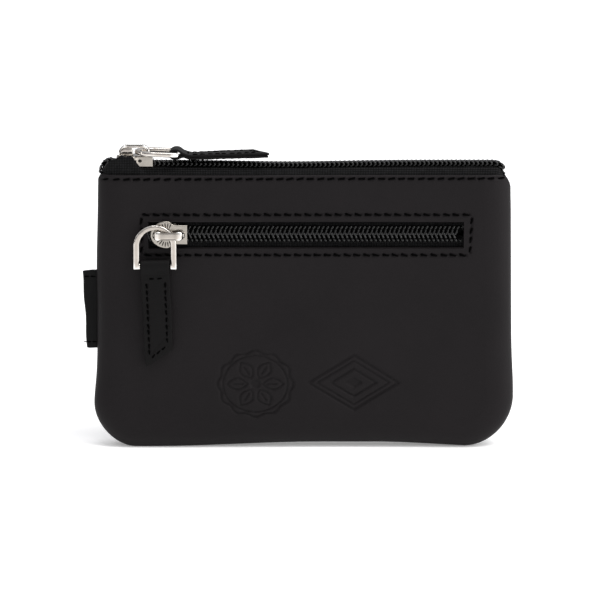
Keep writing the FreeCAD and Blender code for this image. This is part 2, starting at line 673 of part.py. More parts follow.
# ================================================================ all parts
def build_parts():
    return {
        "front_panel": front_panel(),
        "back_panel": back_panel(),
        "pocket_divider": pocket_divider(),
        "pocket_lining": pocket_lining(),
        "back_lining": back_lining(),
        "main_zip_front_tape": main_tape(-1),
        "main_zip_rear_tape": main_tape(1),
        "main_zip_front_coil": main_coil(-1),
        "main_zip_rear_coil": main_coil(1),
        "main_zip_left_tail": main_tail(-1),
        "main_zip_right_tail": main_tail(1),
        "main_slider_body": on_main_zip(slider_body(), MAIN_SLIDER_X),
        "main_slider_crown": on_main_zip(slider_crown(), MAIN_SLIDER_X),
        "main_pull_ring": main_ring(),
        "main_pull_tab": on_main_bar(tab(MAIN_TAB_L)),
        "main_pull_tab_stitching": on_main_bar(tab_stitching(MAIN_TAB_L)),
        "pocket_zip_upper_tape": pocket_tape(1),
        "pocket_zip_lower_tape": pocket_tape(-1),
        "pocket_zip_upper_coil": pocket_coil(1),
        "pocket_zip_lower_coil": pocket_coil(-1),
        "pocket_slider_body": on_pocket_zip(slider_body(), POCKET_SLIDER_X),
        "pocket_slider_crown": on_pocket_zip(slider_crown(), POCKET_SLIDER_X),
        "pocket_pull_ring": pocket_ring(),
        "pocket_pull_tab": on_pocket_bar(tab(POCKET_TAB_L)),
        "pocket_pull_tab_stitching": on_pocket_bar(tab_stitching(POCKET_TAB_L)),
        "side_loop": side_loop(),
        "side_loop_anchor": side_loop_anchor(),
        "side_loop_stitching": side_loop_stitching(),
        "front_top_edge_stitching": top_edge_stitching(-1),
        "back_top_edge_stitching": top_edge_stitching(1),
        "pocket_window_stitching": window_stitching(),
        "perimeter_seam_stitching": perimeter_stitching(),
    }


def origin_shift(parts):
    """From the drawing's origin to the bottom centre of everything."""
    overall = Part.makeCompound(list(parts.values())).optimalBoundingBox(False, False)
    return V(-round(overall.Center.x, 3), -round(overall.Center.y, 3), -round(overall.ZMin, 3))


PARTS = build_parts()
SHIFT = origin_shift(PARTS)
os.makedirs("parts", exist_ok=True)
for node, shape in PARTS.items():
    moved(shape, SHIFT).exportStep("parts/" + node + ".step")
print("origin shift", SHIFT, "parts", len(PARTS))
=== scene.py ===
"""The looks of the coin purse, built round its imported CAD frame.

Shapes are drawn in millimetres in the purse's own axes: X along it, Y from front to back with 0 on
the seam, Z up from the bottom edge.  ORIGIN carries them to the row frame, in metres."""
import json
import math

import bpy
import numpy as np
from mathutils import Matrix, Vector


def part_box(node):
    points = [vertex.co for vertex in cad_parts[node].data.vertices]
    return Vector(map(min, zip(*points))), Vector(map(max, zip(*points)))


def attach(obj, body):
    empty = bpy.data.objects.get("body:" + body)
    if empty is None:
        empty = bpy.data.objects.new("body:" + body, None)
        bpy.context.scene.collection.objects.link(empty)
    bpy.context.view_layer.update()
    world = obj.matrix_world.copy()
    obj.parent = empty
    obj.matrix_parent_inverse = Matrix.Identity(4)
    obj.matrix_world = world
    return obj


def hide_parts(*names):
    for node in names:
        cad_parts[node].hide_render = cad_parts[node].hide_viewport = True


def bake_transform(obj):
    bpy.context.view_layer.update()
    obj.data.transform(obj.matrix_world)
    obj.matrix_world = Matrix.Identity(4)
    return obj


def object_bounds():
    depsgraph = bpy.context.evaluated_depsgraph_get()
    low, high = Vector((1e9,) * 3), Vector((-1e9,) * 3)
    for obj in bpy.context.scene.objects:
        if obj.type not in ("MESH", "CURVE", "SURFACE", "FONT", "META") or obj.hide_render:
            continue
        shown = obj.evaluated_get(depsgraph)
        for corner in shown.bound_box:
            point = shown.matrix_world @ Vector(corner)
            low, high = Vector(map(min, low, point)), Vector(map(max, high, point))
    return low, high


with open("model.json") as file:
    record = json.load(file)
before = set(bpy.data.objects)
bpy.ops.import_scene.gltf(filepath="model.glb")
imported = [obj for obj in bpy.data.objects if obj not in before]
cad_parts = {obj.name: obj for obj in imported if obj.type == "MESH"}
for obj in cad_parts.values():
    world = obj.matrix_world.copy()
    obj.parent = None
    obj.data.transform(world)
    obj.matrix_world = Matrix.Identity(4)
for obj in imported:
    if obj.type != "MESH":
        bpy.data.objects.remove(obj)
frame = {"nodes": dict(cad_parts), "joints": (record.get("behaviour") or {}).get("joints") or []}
CAD_LOW, CAD_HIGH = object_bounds()
NODES = frame["nodes"]

PANEL_H = 85.5
_low, _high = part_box("front_panel")
ORIGIN = np.array([(_low.x + _high.x) / 2, _high.y, _high.z - PANEL_H / 1000])


def panel_box(node):
    """A CAD node's corners in the purse's own axes, in mm."""
    low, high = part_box(node)
    return (np.array(low) - ORIGIN) * 1000, (np.array(high) - ORIGIN) * 1000


# ---------------------------------------------------------------- sizes, from the frame
HALF_DEPTH = -panel_box("front_panel")[0][1]
HALF_BOTTOM, HALF_TOP = 65.0, 63.5
BOTTOM_ARCH = 1.5
LEATHER_T = 1.4
NOSE_L = 4.9
MAIN_SLIDER_X = panel_box("main_slider_body")[0][0] + NOSE_L
POCKET_SLIDER_X = panel_box("pocket_slider_body")[0][0] + NOSE_L
CHAIN_GAP = 0.4
WINDOW_X0 = panel_box("pocket_zip_lower_coil")[0][0] - CHAIN_GAP
WINDOW_X1 = panel_box("pocket_zip_lower_coil")[1][0] + CHAIN_GAP
POCKET_ZIP_Y = panel_box("pocket_zip_lower_coil")[1][1]
POCKET_ZIP_Z = (panel_box("pocket_zip_lower_coil")[0][2] + panel_box("pocket_zip_upper_coil")[1][2]) / 2
WINDOW_Z0 = POCKET_ZIP_Z - 0.35 - 4.05
WINDOW_Z1 = WINDOW_Z0 + 8.1
MAIN_ZIP_Z = panel_box("main_zip_front_coil")[0][2]
STITCH_Z = PANEL_H - 1.2
FRAME_OUT = 2.15
COIL_PITCH = 1.4
RNG = np.random.default_rng(7)


def smooth(t):
    t = np.clip(t, 0, 1)
    return t * t * (3 - 2 * t)


def lerp(a, b, t):
    return a + (b - a) * t


# ================================================================ mesh building
class Shape:
    """Points and faces gathered from several parts of one piece."""

    def __init__(self):
        self.points = []
        self.faces = []
        self.count = 0

    def add(self, points):
        """Stores an array of points and returns the array of their numbers."""
        flat = np.asarray(points, float).reshape(-1, 3)
        index = np.arange(len(flat)) + self.count
        self.points.append(flat)
        self.count += len(flat)
        return index.reshape(np.asarray(points).shape[:-1])

    def quads(self, index, close_u=False, close_v=False, keep=None, flip=False):
        """Faces over a grid of point numbers."""
        if close_u:
            index = np.concatenate([index, index[:1]], 0)
        if close_v:
            index = np.concatenate([index, index[:, :1]], 1)
        faces = np.stack([index[:-1, :-1], index[1:, :-1], index[1:, 1:], index[:-1, 1:]], -1)
        faces = faces[keep] if keep is not None else faces.reshape(-1, 4)
        if flip:
            faces = faces[:, ::-1]
        self.faces += faces.tolist()

    def cap(self, loop, flip=False):
        loop = [int(k) for k in loop]
        self.faces.append(loop[::-1] if flip else loop)

    def array(self):
        return np.concatenate(self.points)


def settle(points):
    """The purse isn't quite square: its right side stands in a little, and its lower corners bulge."""
    x, z = points[:, 0], points[:, 2]
    moved = x - 1.15 * smooth((x - 10) / 50)
    moved += 0.5 * smooth((x - 45) / 18) * np.exp(-((z - 18) / 10) ** 2)
    bulge = 0.9 * np.exp(-((z - 13) / 9) ** 2) + 0.3 * np.exp(-((z - 58) / 12) ** 2)
    moved -= smooth((-x - 45) / 18) * bulge
    return np.stack([moved, points[:, 1], z], -1)


def added(name, data):
    """A new object, in the scene."""
    obj = bpy.data.objects.new(name, data)
    bpy.context.scene.collection.objects.link(obj)
    return obj


def piece(name, shape, material, body, nodes=(), sharp=None):
    """A smooth-shaded object from a shape, riding on body when one is given."""
    mesh = bpy.data.meshes.new(name)
    points = settle(shape.array()) / 1000 + ORIGIN
    mesh.from_pydata(points.tolist(), [], shape.faces)
    mesh.polygons.foreach_set("use_smooth", np.ones(len(mesh.polygons), bool))
    mesh.update()
    if sharp:
        mesh.set_sharp_from_angle(angle=math.radians(sharp))
    mesh.materials.append(material)
    obj = added(name, mesh)
    if body:
        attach(obj, body)
    if nodes:
        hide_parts(*nodes)
    return obj


def unit(v):
    return v / np.maximum(np.linalg.norm(v, axis=-1, keepdims=True), 1e-12)


def tubes(shape, paths, radius, sides=6, up=(0, 1, 0)):
    """Round threads or wires along paths, an array of (how many, points, 3)."""
    paths = np.asarray(paths, float)
    tangent = unit(np.gradient(paths, axis=1))
    up = np.broadcast_to(np.asarray(up, float), paths.shape)
    normal = unit(up - (up * tangent).sum(-1, keepdims=True) * tangent)
    other = np.cross(tangent, normal)
    radius = np.broadcast_to(np.asarray(radius, float), paths.shape[:2])
    turn = np.linspace(0, 2 * math.pi, sides, endpoint=False)
    ring = (normal[:, :, None] * np.cos(turn)[:, None] + other[:, :, None] * np.sin(turn)[:, None])
    points = paths[:, :, None] + ring * radius[:, :, None, None]
    for one in shape.add(points):
        shape.quads(one, close_v=True)
        shape.cap(one[0])
        shape.cap(one[-1], flip=True)


def slab(shape, points, offset):
    """A closed sheet: a grid of points and the same grid moved by offset."""
    front = shape.add(points)
    back = shape.add(points + offset)
    shape.quads(front)
    shape.quads(back, flip=True)
    for a, b in ((front[0], back[0]), (front[:, -1], back[:, -1]),
                 (front[-1][::-1], back[-1][::-1]), (front[::-1, 0], back[::-1, 0])):
        shape.quads(np.stack([b, a]))


# ================================================================ materials
def new_material(name, **sockets):
    mat = bpy.data.materials.new(name)
    mat.use_nodes = True
    tree = mat.node_tree
    shader = tree.nodes["Principled BSDF"]
    for key, value in sockets.items():
        shader.inputs[key.replace("_", " ")].default_value = value
    return mat, tree, shader


def node(tree, kind, links=(), **values):
    made = tree.nodes.new(kind)
    for key, value in values.items():
        if hasattr(made, key):
            setattr(made, key, value)
        else:
            made.inputs[key.replace("_", " ")].default_value = value
    for socket, source in links:
        tree.links.new(source, made.inputs[socket])
    return made


def feed(tree, shader, **sources):
    for key, source in sources.items():
        tree.links.new(source, shader.inputs[key.replace("_", " ")])


def place(tree, scale=(1, 1, 1), turn=(0, 0, 0)):
    """Object coordinates in millimetres, stretched or turned."""
    coords = node(tree, "ShaderNodeTexCoord")
    mapping = node(tree, "ShaderNodeMapping", [("Vector", coords.outputs["Object"])],
                   Scale=tuple(1000 * s for s in scale), Rotation=turn)
    return mapping.outputs["Vector"]


def noise(tree, vector, scale, detail):
    made = node(tree, "ShaderNodeTexNoise", [("Vector", vector)], Scale=scale, Detail=detail, Roughness=0.55)
    return made.outputs["Fac"]


def ramp(tree, source, *stops):
    made = node(tree, "ShaderNodeValToRGB", [("Fac", source)])
    while len(made.color_ramp.elements) < len(stops):
        made.color_ramp.elements.new(0.5)
    for element, (at, colour) in zip(made.color_ramp.elements, stops):
        element.position = at
        element.color = (*colour, 1)
    return made.outputs["Color"]


def spread(tree, source, low, high, from_low=0.3, from_high=0.7):
    made = node(tree, "ShaderNodeMapRange", [("Value", source)], From_Min=from_low, From_Max=from_high,
                To_Min=low, To_Max=high)
    return made.outputs["Result"]


def maths(tree, operation, a, b):
    made = node(tree, "ShaderNodeMath", operation=operation)
    for k, value in enumerate((a, b)):
        if isinstance(value, (int, float)):
            made.inputs[k].default_value = value
        else:
            tree.links.new(value, made.inputs[k])
    return made.outputs[0]


def mixed(tree, a, share_a, b, share_b):
    return maths(tree, "ADD", maths(tree, "MULTIPLY", a, share_a), maths(tree, "MULTIPLY", b, share_b))


def bump(tree, shader, height, strength, distance_mm):
    made = node(tree, "ShaderNodeBump", [("Height", height)], Strength=strength, Distance=distance_mm / 1000)
    feed(tree, shader, Normal=made.outputs["Normal"])


def bands(tree, at, **values):
    made = node(tree, "ShaderNodeTexWave", [("Vector", at)], wave_type="BANDS", **values)
    return made.outputs["Fac"]


def pointiness(tree):
    return node(tree, "ShaderNodeNewGeometry").outputs["Pointiness"]


def leather(name, dark, light, specular, grain=0.75, rough=(0.5, 0.62), depth=0.05):
    mat, tree, shader = new_material(name, Specular_IOR_Level=specular)
    at = place(tree)
    broad, fine = noise(tree, at, 0.035, 4), noise(tree, at, 2.2, 2)
    cells = node(tree, "ShaderNodeTexVoronoi", [("Vector", at)], feature="DISTANCE_TO_EDGE", Scale=1 / grain)
    pores = spread(tree, cells.outputs["Distance"], 0, 1, 0.0, 0.35)
    edge = spread(tree, pointiness(tree), 0, 0.5, 0.52, 0.62)
    tone = maths(tree, "ADD", mixed(tree, broad, 0.8, fine, 0.2), edge)
    feed(tree, shader, Base_Color=ramp(tree, tone, (0.3, dark), (0.75, light)),
         Roughness=spread(tree, mixed(tree, broad, 0.6, fine, 0.4), *rough))
    bump(tree, shader, mixed(tree, pores, 0.7, fine, 0.6), 0.5, depth)
    return mat


def woven(name, dark, light, specular):
    """Two crossing rows of threads, 0.5 mm apart."""
    mat, tree, shader = new_material(name, Specular_IOR_Level=specular, Roughness=0.85)
    at = place(tree)
    rows = [bands(tree, at, bands_direction=direction, Scale=0.628, Distortion=0.6, Detail=1.0,
                  Detail_Scale=1.5)
            for direction in ("X", "Z")]
    wobble = maths(tree, "MULTIPLY", noise(tree, at, 0.8, 2), 0.5)
    height = maths(tree, "ADD", maths(tree, "MULTIPLY", *rows), wobble)
    feed(tree, shader, Base_Color=ramp(tree, height, (0.25, dark), (1.0, light)))
    bump(tree, shader, height, 0.7, 0.12)
    return mat


def plastic(name, dark, light, rough, specular):
    mat, tree, shader = new_material(name, Specular_IOR_Level=specular)
    at = place(tree)
    cloud = noise(tree, at, 0.9, 2)
    feed(tree, shader, Base_Color=ramp(tree, cloud, (0.3, dark), (0.7, light)),
         Roughness=spread(tree, cloud, *rough))
    bump(tree, shader, noise(tree, at, 6.0, 2), 0.15, 0.02)
    return mat


def threads(name, dark, light):
    mat, tree, shader = new_material(name, Specular_IOR_Level=0.025, Roughness=0.8)
    twist = bands(tree, place(tree, turn=(0.5, 0.4, 0.6)), bands_direction="DIAGONAL", Scale=0.9,
                  Distortion=0.5)
    feed(tree, shader, Base_Color=ramp(tree, twist, (0.2, dark), (0.9, light)))
    bump(tree, shader, twist, 0.6, 0.06)
    return mat


def metal(name, dark, light, rough, bright=None):
    """Plated metal. The optional colour is painted on its rounded edges as a painted highlight, and its
    hollows are painted darker as painted shade.
    """
    mat, tree, shader = new_material(name, Metallic=1.0)
    cloud = noise(tree, place(tree), 0.25, 3)
    brushed = noise(tree, place(tree, scale=(0.4, 3, 3)), 1.6, 3)
    stops = [(0.3, dark), (0.7, light)]
    if bright:
        # painted highlight on convex edges and painted shade in hollows, both read from pointiness
        edge = spread(tree, pointiness(tree), -0.5, 1.0, 0.47, 0.56)
        cloud = mixed(tree, cloud, 0.25, edge, 0.75)
        stops = [(0.0, tuple(c * 0.35 for c in dark)), (0.14, dark), (0.3, light), (0.75, bright)]
    feed(tree, shader, Base_Color=ramp(tree, cloud, *stops), Roughness=spread(tree, brushed, *rough))
    bump(tree, shader, brushed, 0.08, 0.02)
    return mat


LEATHER = leather("leather", (0.0055, 0.0044, 0.0049), (0.0089, 0.0073, 0.008), 0.118)
PULL_LEATHER = leather("pull_leather", (0.0026, 0.0023, 0.0024), (0.0050, 0.0046, 0.0047), 0.09, grain=0.6,
                       rough=(0.5, 0.66), depth=0.07)
# a darker copy of the leather for the side loop: painted shade, as the loop stands in shade
SHADED_LOOP_LEATHER = leather("loop_leather_painted_shade", (0.0032, 0.0032, 0.0033), (0.0062, 0.0061, 0.0062), 0.08)
LINING = woven("lining_cloth", (0.006, 0.006, 0.0065), (0.016, 0.016, 0.017), 0.2)
TAPE = woven("zip_tape", (0.0008, 0.0008, 0.0009), (0.017, 0.017, 0.0175), 0.08)
COIL = plastic("zip_coil", (0.001, 0.001, 0.001), (0.002, 0.002, 0.002), (0.12, 0.2), 0.36)
THREAD = threads("thread", (0.0002, 0.0002, 0.0002), (0.0008, 0.0008, 0.0008))
NICKEL = metal("nickel", (0.28, 0.258, 0.23), (0.36, 0.335, 0.3), (0.1, 0.24))
# nickel with painted highlights on its rounded edges and painted shade in its hollows
HIGHLIGHTED_NICKEL = metal("nickel_painted_highlights", (0.33, 0.3, 0.27), (0.46, 0.42, 0.38), (0.08, 0.2),
                     bright=(0.98, 0.96, 0.93))
# painted shade: near-black metal for the tubes that stand in for the shade in a slider's grooves and slits
GROOVE_SHADE = metal("nickel_painted_groove_shade", (0.03, 0.027, 0.024), (0.07, 0.065, 0.06), (0.3, 0.5))


# ================================================================ leather panels
def half_width(z):
    return HALF_BOTTOM + (HALF_TOP - HALF_BOTTOM) * np.asarray(z, float) / PANEL_H


def arch(x):
    """How far the bottom edge stands off the floor."""
    x = np.asarray(x, float)
    return BOTTOM_ARCH * smooth((x + 50) / 54) * smooth((62 - x) / 40)


# (inset from the outline, distance from the seam plane): the leather's outer and inner face
OUTER = [(1.0, 0.02), (0.55, 0.12), (0.25, 0.42), (0.06, 0.85), (0, 1.45), (0.06, 2.2), (0.35, 3.2),
         (0.95, 4.2), (1.8, 5.05), (2.9, 5.75), (4.3, 6.35), (6.2, 6.78), (8.5, 6.98)]
INNER = [(1.8, 0.02), (1.7, 0.35), (1.6, 0.7), (1.5, 1.1), (1.45, 1.5), (1.5, 2.1), (1.7, 2.7),
         (2.15, 3.4), (2.8, 4.1), (3.7, 4.65), (4.9, 5.05), (6.6, 5.4), (8.6, 5.58)]
CORNERS = {-1: (12.6, 14.5), 1: (14.8, 15.6)}       # radii along X and up Z, left and right
CORNER_STEPS, KNEE_STEPS = 18, 13
EXTRA = CORNER_STEPS + KNEE_STEPS                   # grid lines in a corner, on each side of its middle
KNEE_X, KNEE_Z = 51.9, 18.6                         # where the even grid takes over from the corners'
TOP_CORNER_R = {-1: 1.6, 1: 4.2}


def corner_centre(side):
    """A bottom corner's radii and the middle of its curve: (rx, rz, x, z)."""
    rx, rz = CORNERS[side]
    low_z = rz + arch(side * (HALF_BOTTOM - rx))
    return rx, rz, half_width(low_z) - rx, low_z


def corner_arc(side, inset, turn):
    rx, rz, hub, low_z = corner_centre(side)
    return np.stack([hub + (rx - inset) * np.cos(turn), low_z - (rz - inset) * np.sin(turn)], -1)


def side_line(side, inset, rows):
    """One side of the outline from the bottom corner's middle up: (x, z) for each row."""
    corner = corner_arc(side, inset, np.linspace(math.pi / 4, 0, CORNER_STEPS + 1))
    knee = np.linspace(corner_centre(side)[3], KNEE_Z, KNEE_STEPS + 1)[1:-1]
    z = np.concatenate([knee, rows])
    points = np.concatenate([corner, np.stack([half_width(z) - inset, z], -1)])
    points[:, 0] *= side
    return points


def foot_line(x, inset):
    """Height of the bottom edge, and of the curves where it turns up into the corners."""
    z = inset + arch(x)
    for side in (-1, 1):
        rx, rz, hub, low_z = corner_centre(side)
        past = np.clip((side * x - hub) / (rx - inset), 0, 1)
        z = np.where(past > 0, low_z - (rz - inset) * np.sqrt(1 - past ** 2), z)
    return z


def bottom_line(inset, columns):
    """The bottom edge from the left corner's middle to the right one's."""
    ends = []
    for side in (-1, 1):
        rx, _, hub, _ = corner_centre(side)
        if KNEE_X > hub:
            turn = np.linspace(math.pi / 4, math.acos((KNEE_X - hub) / (rx - inset)), EXTRA + 1)[:-1]
            knee = np.empty(0)
        else:
            turn = np.linspace(math.pi / 4, math.pi / 2, CORNER_STEPS + 1)
            knee = np.linspace(hub, KNEE_X, KNEE_STEPS + 1)[1:-1]
        line = np.concatenate([corner_arc(side, inset, turn),
                               np.stack([knee, foot_line(side * knee, inset)], -1)])
        line[:, 0] *= side
        ends.append(line)
    middle = np.stack([columns, foot_line(columns, inset)], -1)
    return np.concatenate([ends[0], middle, ends[1][::-1]])


def face_grid(inset, columns, rows):
    """Points (x, z) of the flat part of a panel, whose border is the innermost ring."""
    left, right = (side_line(side, inset, rows) for side in (-1, 1))
    bottom = bottom_line(inset, columns)
    x = np.empty((len(bottom), len(left)))
    z = np.empty_like(x)
    x[EXTRA:-EXTRA] = columns[:, None]
    z[:, EXTRA:] = rows[None, :]
    rises = []
    for line, end, part, knee in ((left, 0, slice(None, EXTRA), -KNEE_X),
                                  (right, -1, slice(-EXTRA, None), KNEE_X)):
        share = (bottom[part, 0] - bottom[end, 0]) / (knee - bottom[end, 0])
        x[part] = lerp(line[None, :, 0], knee, share[:, None])
        rises.append((line[None, :EXTRA, 1] - line[0, 1]) / (KNEE_Z - line[0, 1]))
    across = np.linspace(0, 1, len(bottom))[:, None]
    z[:, :EXTRA] = lerp(bottom[:, 1][:, None], KNEE_Z, lerp(*rises, across))
    x[0], z[0] = left[:, 0], left[:, 1]
    x[-1], z[-1] = right[:, 0], right[:, 1]
    return x, z


def depth_at(x, z):
    """Distance of the leather's plain outer face from the seam plane."""
    inset = np.minimum(half_width(z) - np.abs(x), np.asarray(z) - arch(x))
    table = np.array(OUTER[4:] + [(11.0, HALF_DEPTH)])
    return np.interp(inset, table[:, 0], table[:, 1])


def leather_panel(columns, rows, field, window=None):
    """A pillow-shaped leather panel with a rounded top edge, towards -Y."""
    shape = Shape()
    faces = {}
    for label, profile in (("outer", OUTER), ("inner", INNER)):
        rings = []
        for inset, depth in profile:
            line = np.concatenate([side_line(-1, inset, rows)[::-1], bottom_line(inset, columns)[1:-1],
                                   side_line(1, inset, rows)])
            rings.append(np.stack([line[:, 0], np.full(len(line), -depth), line[:, 1]], -1))
        rings = np.array(rings)
        inset, depth = profile[-1]
        gx, gz = face_grid(inset, columns, rows)
        away = np.minimum(half_width(gz) - np.abs(gx), gz - arch(gx)) - inset
        flat = HALF_DEPTH - (0 if label == "outer" else LEATHER_T)
        gy = -lerp(depth, flat, smooth(away / 3))
        grid = np.stack([gx, gy, gz], -1)
        for part in (rings, grid):
            weight = smooth((-part[..., 1] - 1.5) / 4.5)
            part[..., 1] += weight * field(part[..., 0], part[..., 2], label == "outer")
            crown_x = HALF_TOP - np.abs(part[..., 0])
            for side, radius in TOP_CORNER_R.items():
                near = (np.sign(part[..., 0]) == side) & (crown_x < radius)
                dip = radius - np.sqrt(np.maximum(radius ** 2 - (radius - np.clip(crown_x, 0, None)) ** 2, 0))
                lift = smooth((part[..., 2] - PANEL_H + 3 * radius) / (3 * radius))
                part[..., 2] -= np.where(near, dip * lift, 0)
        ring_index = shape.add(rings[:-1])
        grid_index = shape.add(grid)
        border = np.concatenate([grid_index[0, ::-1], grid_index[1:-1, 0], grid_index[-1]])
        ring_index = np.concatenate([ring_index, border[None]])
        flip = label == "inner"
        shape.quads(ring_index, flip=not flip)
        keep = None
        if window:
            mid_x = (grid[1:, 1:, 0] + grid[:-1, :-1, 0]) / 2
            mid_z = (grid[1:, 1:, 2] + grid[:-1, :-1, 2]) / 2
            hole = ((mid_x > window[0]) & (mid_x < window[1]) & (mid_z > window[2]) & (mid_z < window[3]))
            keep = ~hole
        shape.quads(grid_index, keep=keep, flip=flip)
        faces[label] = (ring_index, grid_index, grid)
    outer_rings, outer_grid, grid = faces["outer"]
    inner_rings, inner_grid, _ = faces["inner"]
    shape.quads(np.stack([outer_rings[0], inner_rings[0]]))
    points = shape.array()

    def bridge(a, b, push, shares, closed=False, flip=False):
        rows_between = [a]
        for share, shift in zip(shares, push):
            rows_between.append(shape.add(lerp(points[a], points[b], share) + shift))
        shape.quads(np.stack(rows_between + [b]), close_v=closed, flip=flip)

    outer_top = np.concatenate([outer_rings[:, 0], outer_grid[1:-1, -1], outer_rings[::-1, -1]])
    inner_top = np.concatenate([inner_rings[:, 0], inner_grid[1:-1, -1], inner_rings[::-1, -1]])
    up = np.array([0, 0, 1.0])
    bridge(outer_top, inner_top, [up * 0.3, up * 0.52, up * 0.52, up * 0.3], [0.1, 0.32, 0.68, 0.9],
           flip=True)
    if window:
        i0, i1 = (int(np.argmin(abs(grid[:, -1, 0] - w))) for w in window[:2])
        j0, j1 = (int(np.argmin(abs(grid[grid.shape[0] // 2, :, 2] - w))) for w in window[2:])
        loops = []
        for index in (outer_grid, inner_grid):
            loops.append(np.concatenate([index[i0:i1, j0], index[i1, j0:j1], index[i1:i0:-1, j1],
                                         index[i0, j1:j0:-1]]))
        inward = np.array([(window[0] + window[1]) / 2, 0, (window[2] + window[3]) / 2]) - points[loops[0]]
        inward[:, 1] = 0
        at_side = np.isclose(np.abs(inward[:, 0]), (window[1] - window[0]) / 2, atol=0.05)
        at_level = np.isclose(np.abs(inward[:, 2]), (window[3] - window[2]) / 2, atol=0.05)
        inward = np.stack([np.sign(inward[:, 0]) * at_side, 0 * at_side,
                           np.sign(inward[:, 2]) * at_level], -1)
        bridge(loops[0], loops[1], [inward * 0.16, inward * 0.26, inward * 0.2], [0.12, 0.4, 0.85],
               closed=True)
    return shape


def gathered(*ranges):
    """Grid lines: (start, stop, step) stretches joined, with each border line kept exactly."""
    lines = []
    for start, stop, step in ranges:
        count = max(1, round((stop - start) / step))
        lines += list(np.linspace(start, stop, count + 1)[:-1])
    return np.array(lines + [ranges[-1][1]])


# ---------------------------------------------------------------- sewing
def seam_points(start, end, pitch, wander=0.06):
    """Middles of the stitches along a line, a little uneven."""
    start, end = np.array(start, float), np.array(end, float)
    length = np.linalg.norm(end - start)
    count = max(1, round(length / pitch))
    share = (np.arange(count) + 0.5) / count
    share = share + RNG.normal(0, wander, count) * pitch / length / 2
    return start + (end - start) * share[:, None]


FRAME_X0, FRAME_X1 = WINDOW_X0 - FRAME_OUT, WINDOW_X1 + FRAME_OUT
FRAME_Z0, FRAME_Z1 = WINDOW_Z0 - FRAME_OUT, WINDOW_Z1 + FRAME_OUT
TOP_SEAM = seam_points((-62.3, STITCH_Z - 0.1), (61.8, STITCH_Z + 0.25), 3.12)
FRAME_SEAMS = [seam_points((FRAME_X0, FRAME_Z1), (FRAME_X1, FRAME_Z1), 3.05),
               seam_points((FRAME_X0 + 0.6, FRAME_Z0), (FRAME_X1 - 1.0, FRAME_Z0), 3.05)]
FRAME_ENDS = [seam_points((FRAME_X0, FRAME_Z0 + 0.2), (FRAME_X0, FRAME_Z1 - 0.6), 2.9),
              seam_points((FRAME_X1 - 0.3, FRAME_Z0 + 0.2), (FRAME_X1 + 0.2, FRAME_Z1 - 0.6), 2.9)]


def pressed(x, z, middles, across, half_l, depth, hole):
    """How far a row of stitches presses the leather: a shallow channel, deeper at each thread."""
    result = np.zeros_like(x)
    for cx, cz in middles:
        along, off = ((x - cx), (z - cz)) if across == "z" else ((z - cz), (x - cx))
        near = (np.abs(along) < half_l * 2.2) & (np.abs(off) < 1.6)
        if not near.any():
            continue
        a, o = along[near], off[near]
        channel = depth * np.exp(-(o / 0.5) ** 2) * smooth((half_l * 1.7 - np.abs(a)) / (half_l * 0.5))
        ends = sum(hole * np.exp(-(((a - s * half_l) / 0.42) ** 2 + (o / 0.34) ** 2)) for s in (-1, 1))
        result[near] = np.maximum(result[near], channel + ends)
    return result


def line_mark(distance, width, depth=0.45, soft=0.26):
    """A pressed line of that width where distance is 0."""
    return depth * smooth((width / 2 + soft / 2 - np.abs(distance)) / soft)


def filled_mark(distance, depth=0.45, soft=0.26):
    """A pressed area where distance is below 0."""
    return depth * smooth(0.5 - distance / soft)


def rosette(x, z):
    """Left motif: a six-petal flower in a scalloped frame."""
    r = np.hypot(x, z * 1.12)
    turn = np.arctan2(z * 1.12, x)
    marks = [line_mark(r - 11.3 - 0.42 * np.cos(12 * turn), 0.75), line_mark(r - 9.9, 0.5),
             filled_mark(r - 1.6)]
    petal = (((turn - math.pi / 6) * 6 / (2 * math.pi)) % 1 - 0.5) * 2 * math.pi / 6
    along, off = r * np.cos(petal), r * np.sin(petal)
    leaf = np.abs(off) - 2.0 * np.sin(np.clip((along - 2.3) / 6.4, 0, 1) * math.pi)
    inside = (along > 2.2) & (along < 8.8)
    marks.append(np.where(inside, line_mark(leaf, 0.6), 0))
    marks.append(np.where((along > 3.6) & (along < 6.8), line_mark(off, 0.5), 0))
    return np.max(marks, axis=0)


def lozenge(x, z):
    """Right motif: nested lozenges round a small solid one."""
    reach = np.abs(x) / 14.0 + np.abs(z) / 8.6
    marks = [line_mark((reach - size) * 7.3, width) for size, width in ((1, 0.75), (0.8, 0.4), (0.5, 0.6))]
    marks.append(filled_mark((reach - 0.2) * 7.3))
    return np.max(marks, axis=0)


def undulation(x, z):
    """The slow waves of a soft panel, in mm."""
    waves = 0.16 * np.sin(x * 0.071 + 0.9) * np.cos(z * 0.083 - 0.4)
    waves += 0.10 * np.sin(x * 0.032 - z * 0.11 + 2.1)
    waves += 0.05 * np.sin(x * 0.19 + z * 0.06) * np.sin(z * 0.17 + 1.3)
    return waves


ROSETTE_AT = (-15.7, 20.9)
LOZENGE_AT = (14.6, 21.3)


PRESSED_ROWS = ([(TOP_SEAM, "z", 1.0, 0.12, 0.4)] + [(row, "z", 1.0, 0.14, 0.45) for row in FRAME_SEAMS]
                + [(row, "x", 0.9, 0.14, 0.45) for row in FRAME_ENDS])


def front_field(x, z, outside):
    """How far the front panel's face is pushed in from its plain shape."""
    push = undulation(x, z) + 0.1
    if not outside:
        return push * 0.5
    for row in PRESSED_ROWS:
        push = push + pressed(x, z, *row)
    push = push + rosette(x - ROSETTE_AT[0], z - ROSETTE_AT[1])
    return push + lozenge(x - LOZENGE_AT[0], z - LOZENGE_AT[1])


def back_field(x, z, outside):
    push = undulation(-x, z) + 0.1
    return push + pressed(x, z, TOP_SEAM, "z", 1.0, 0.12, 0.2) if outside else push * 0.5


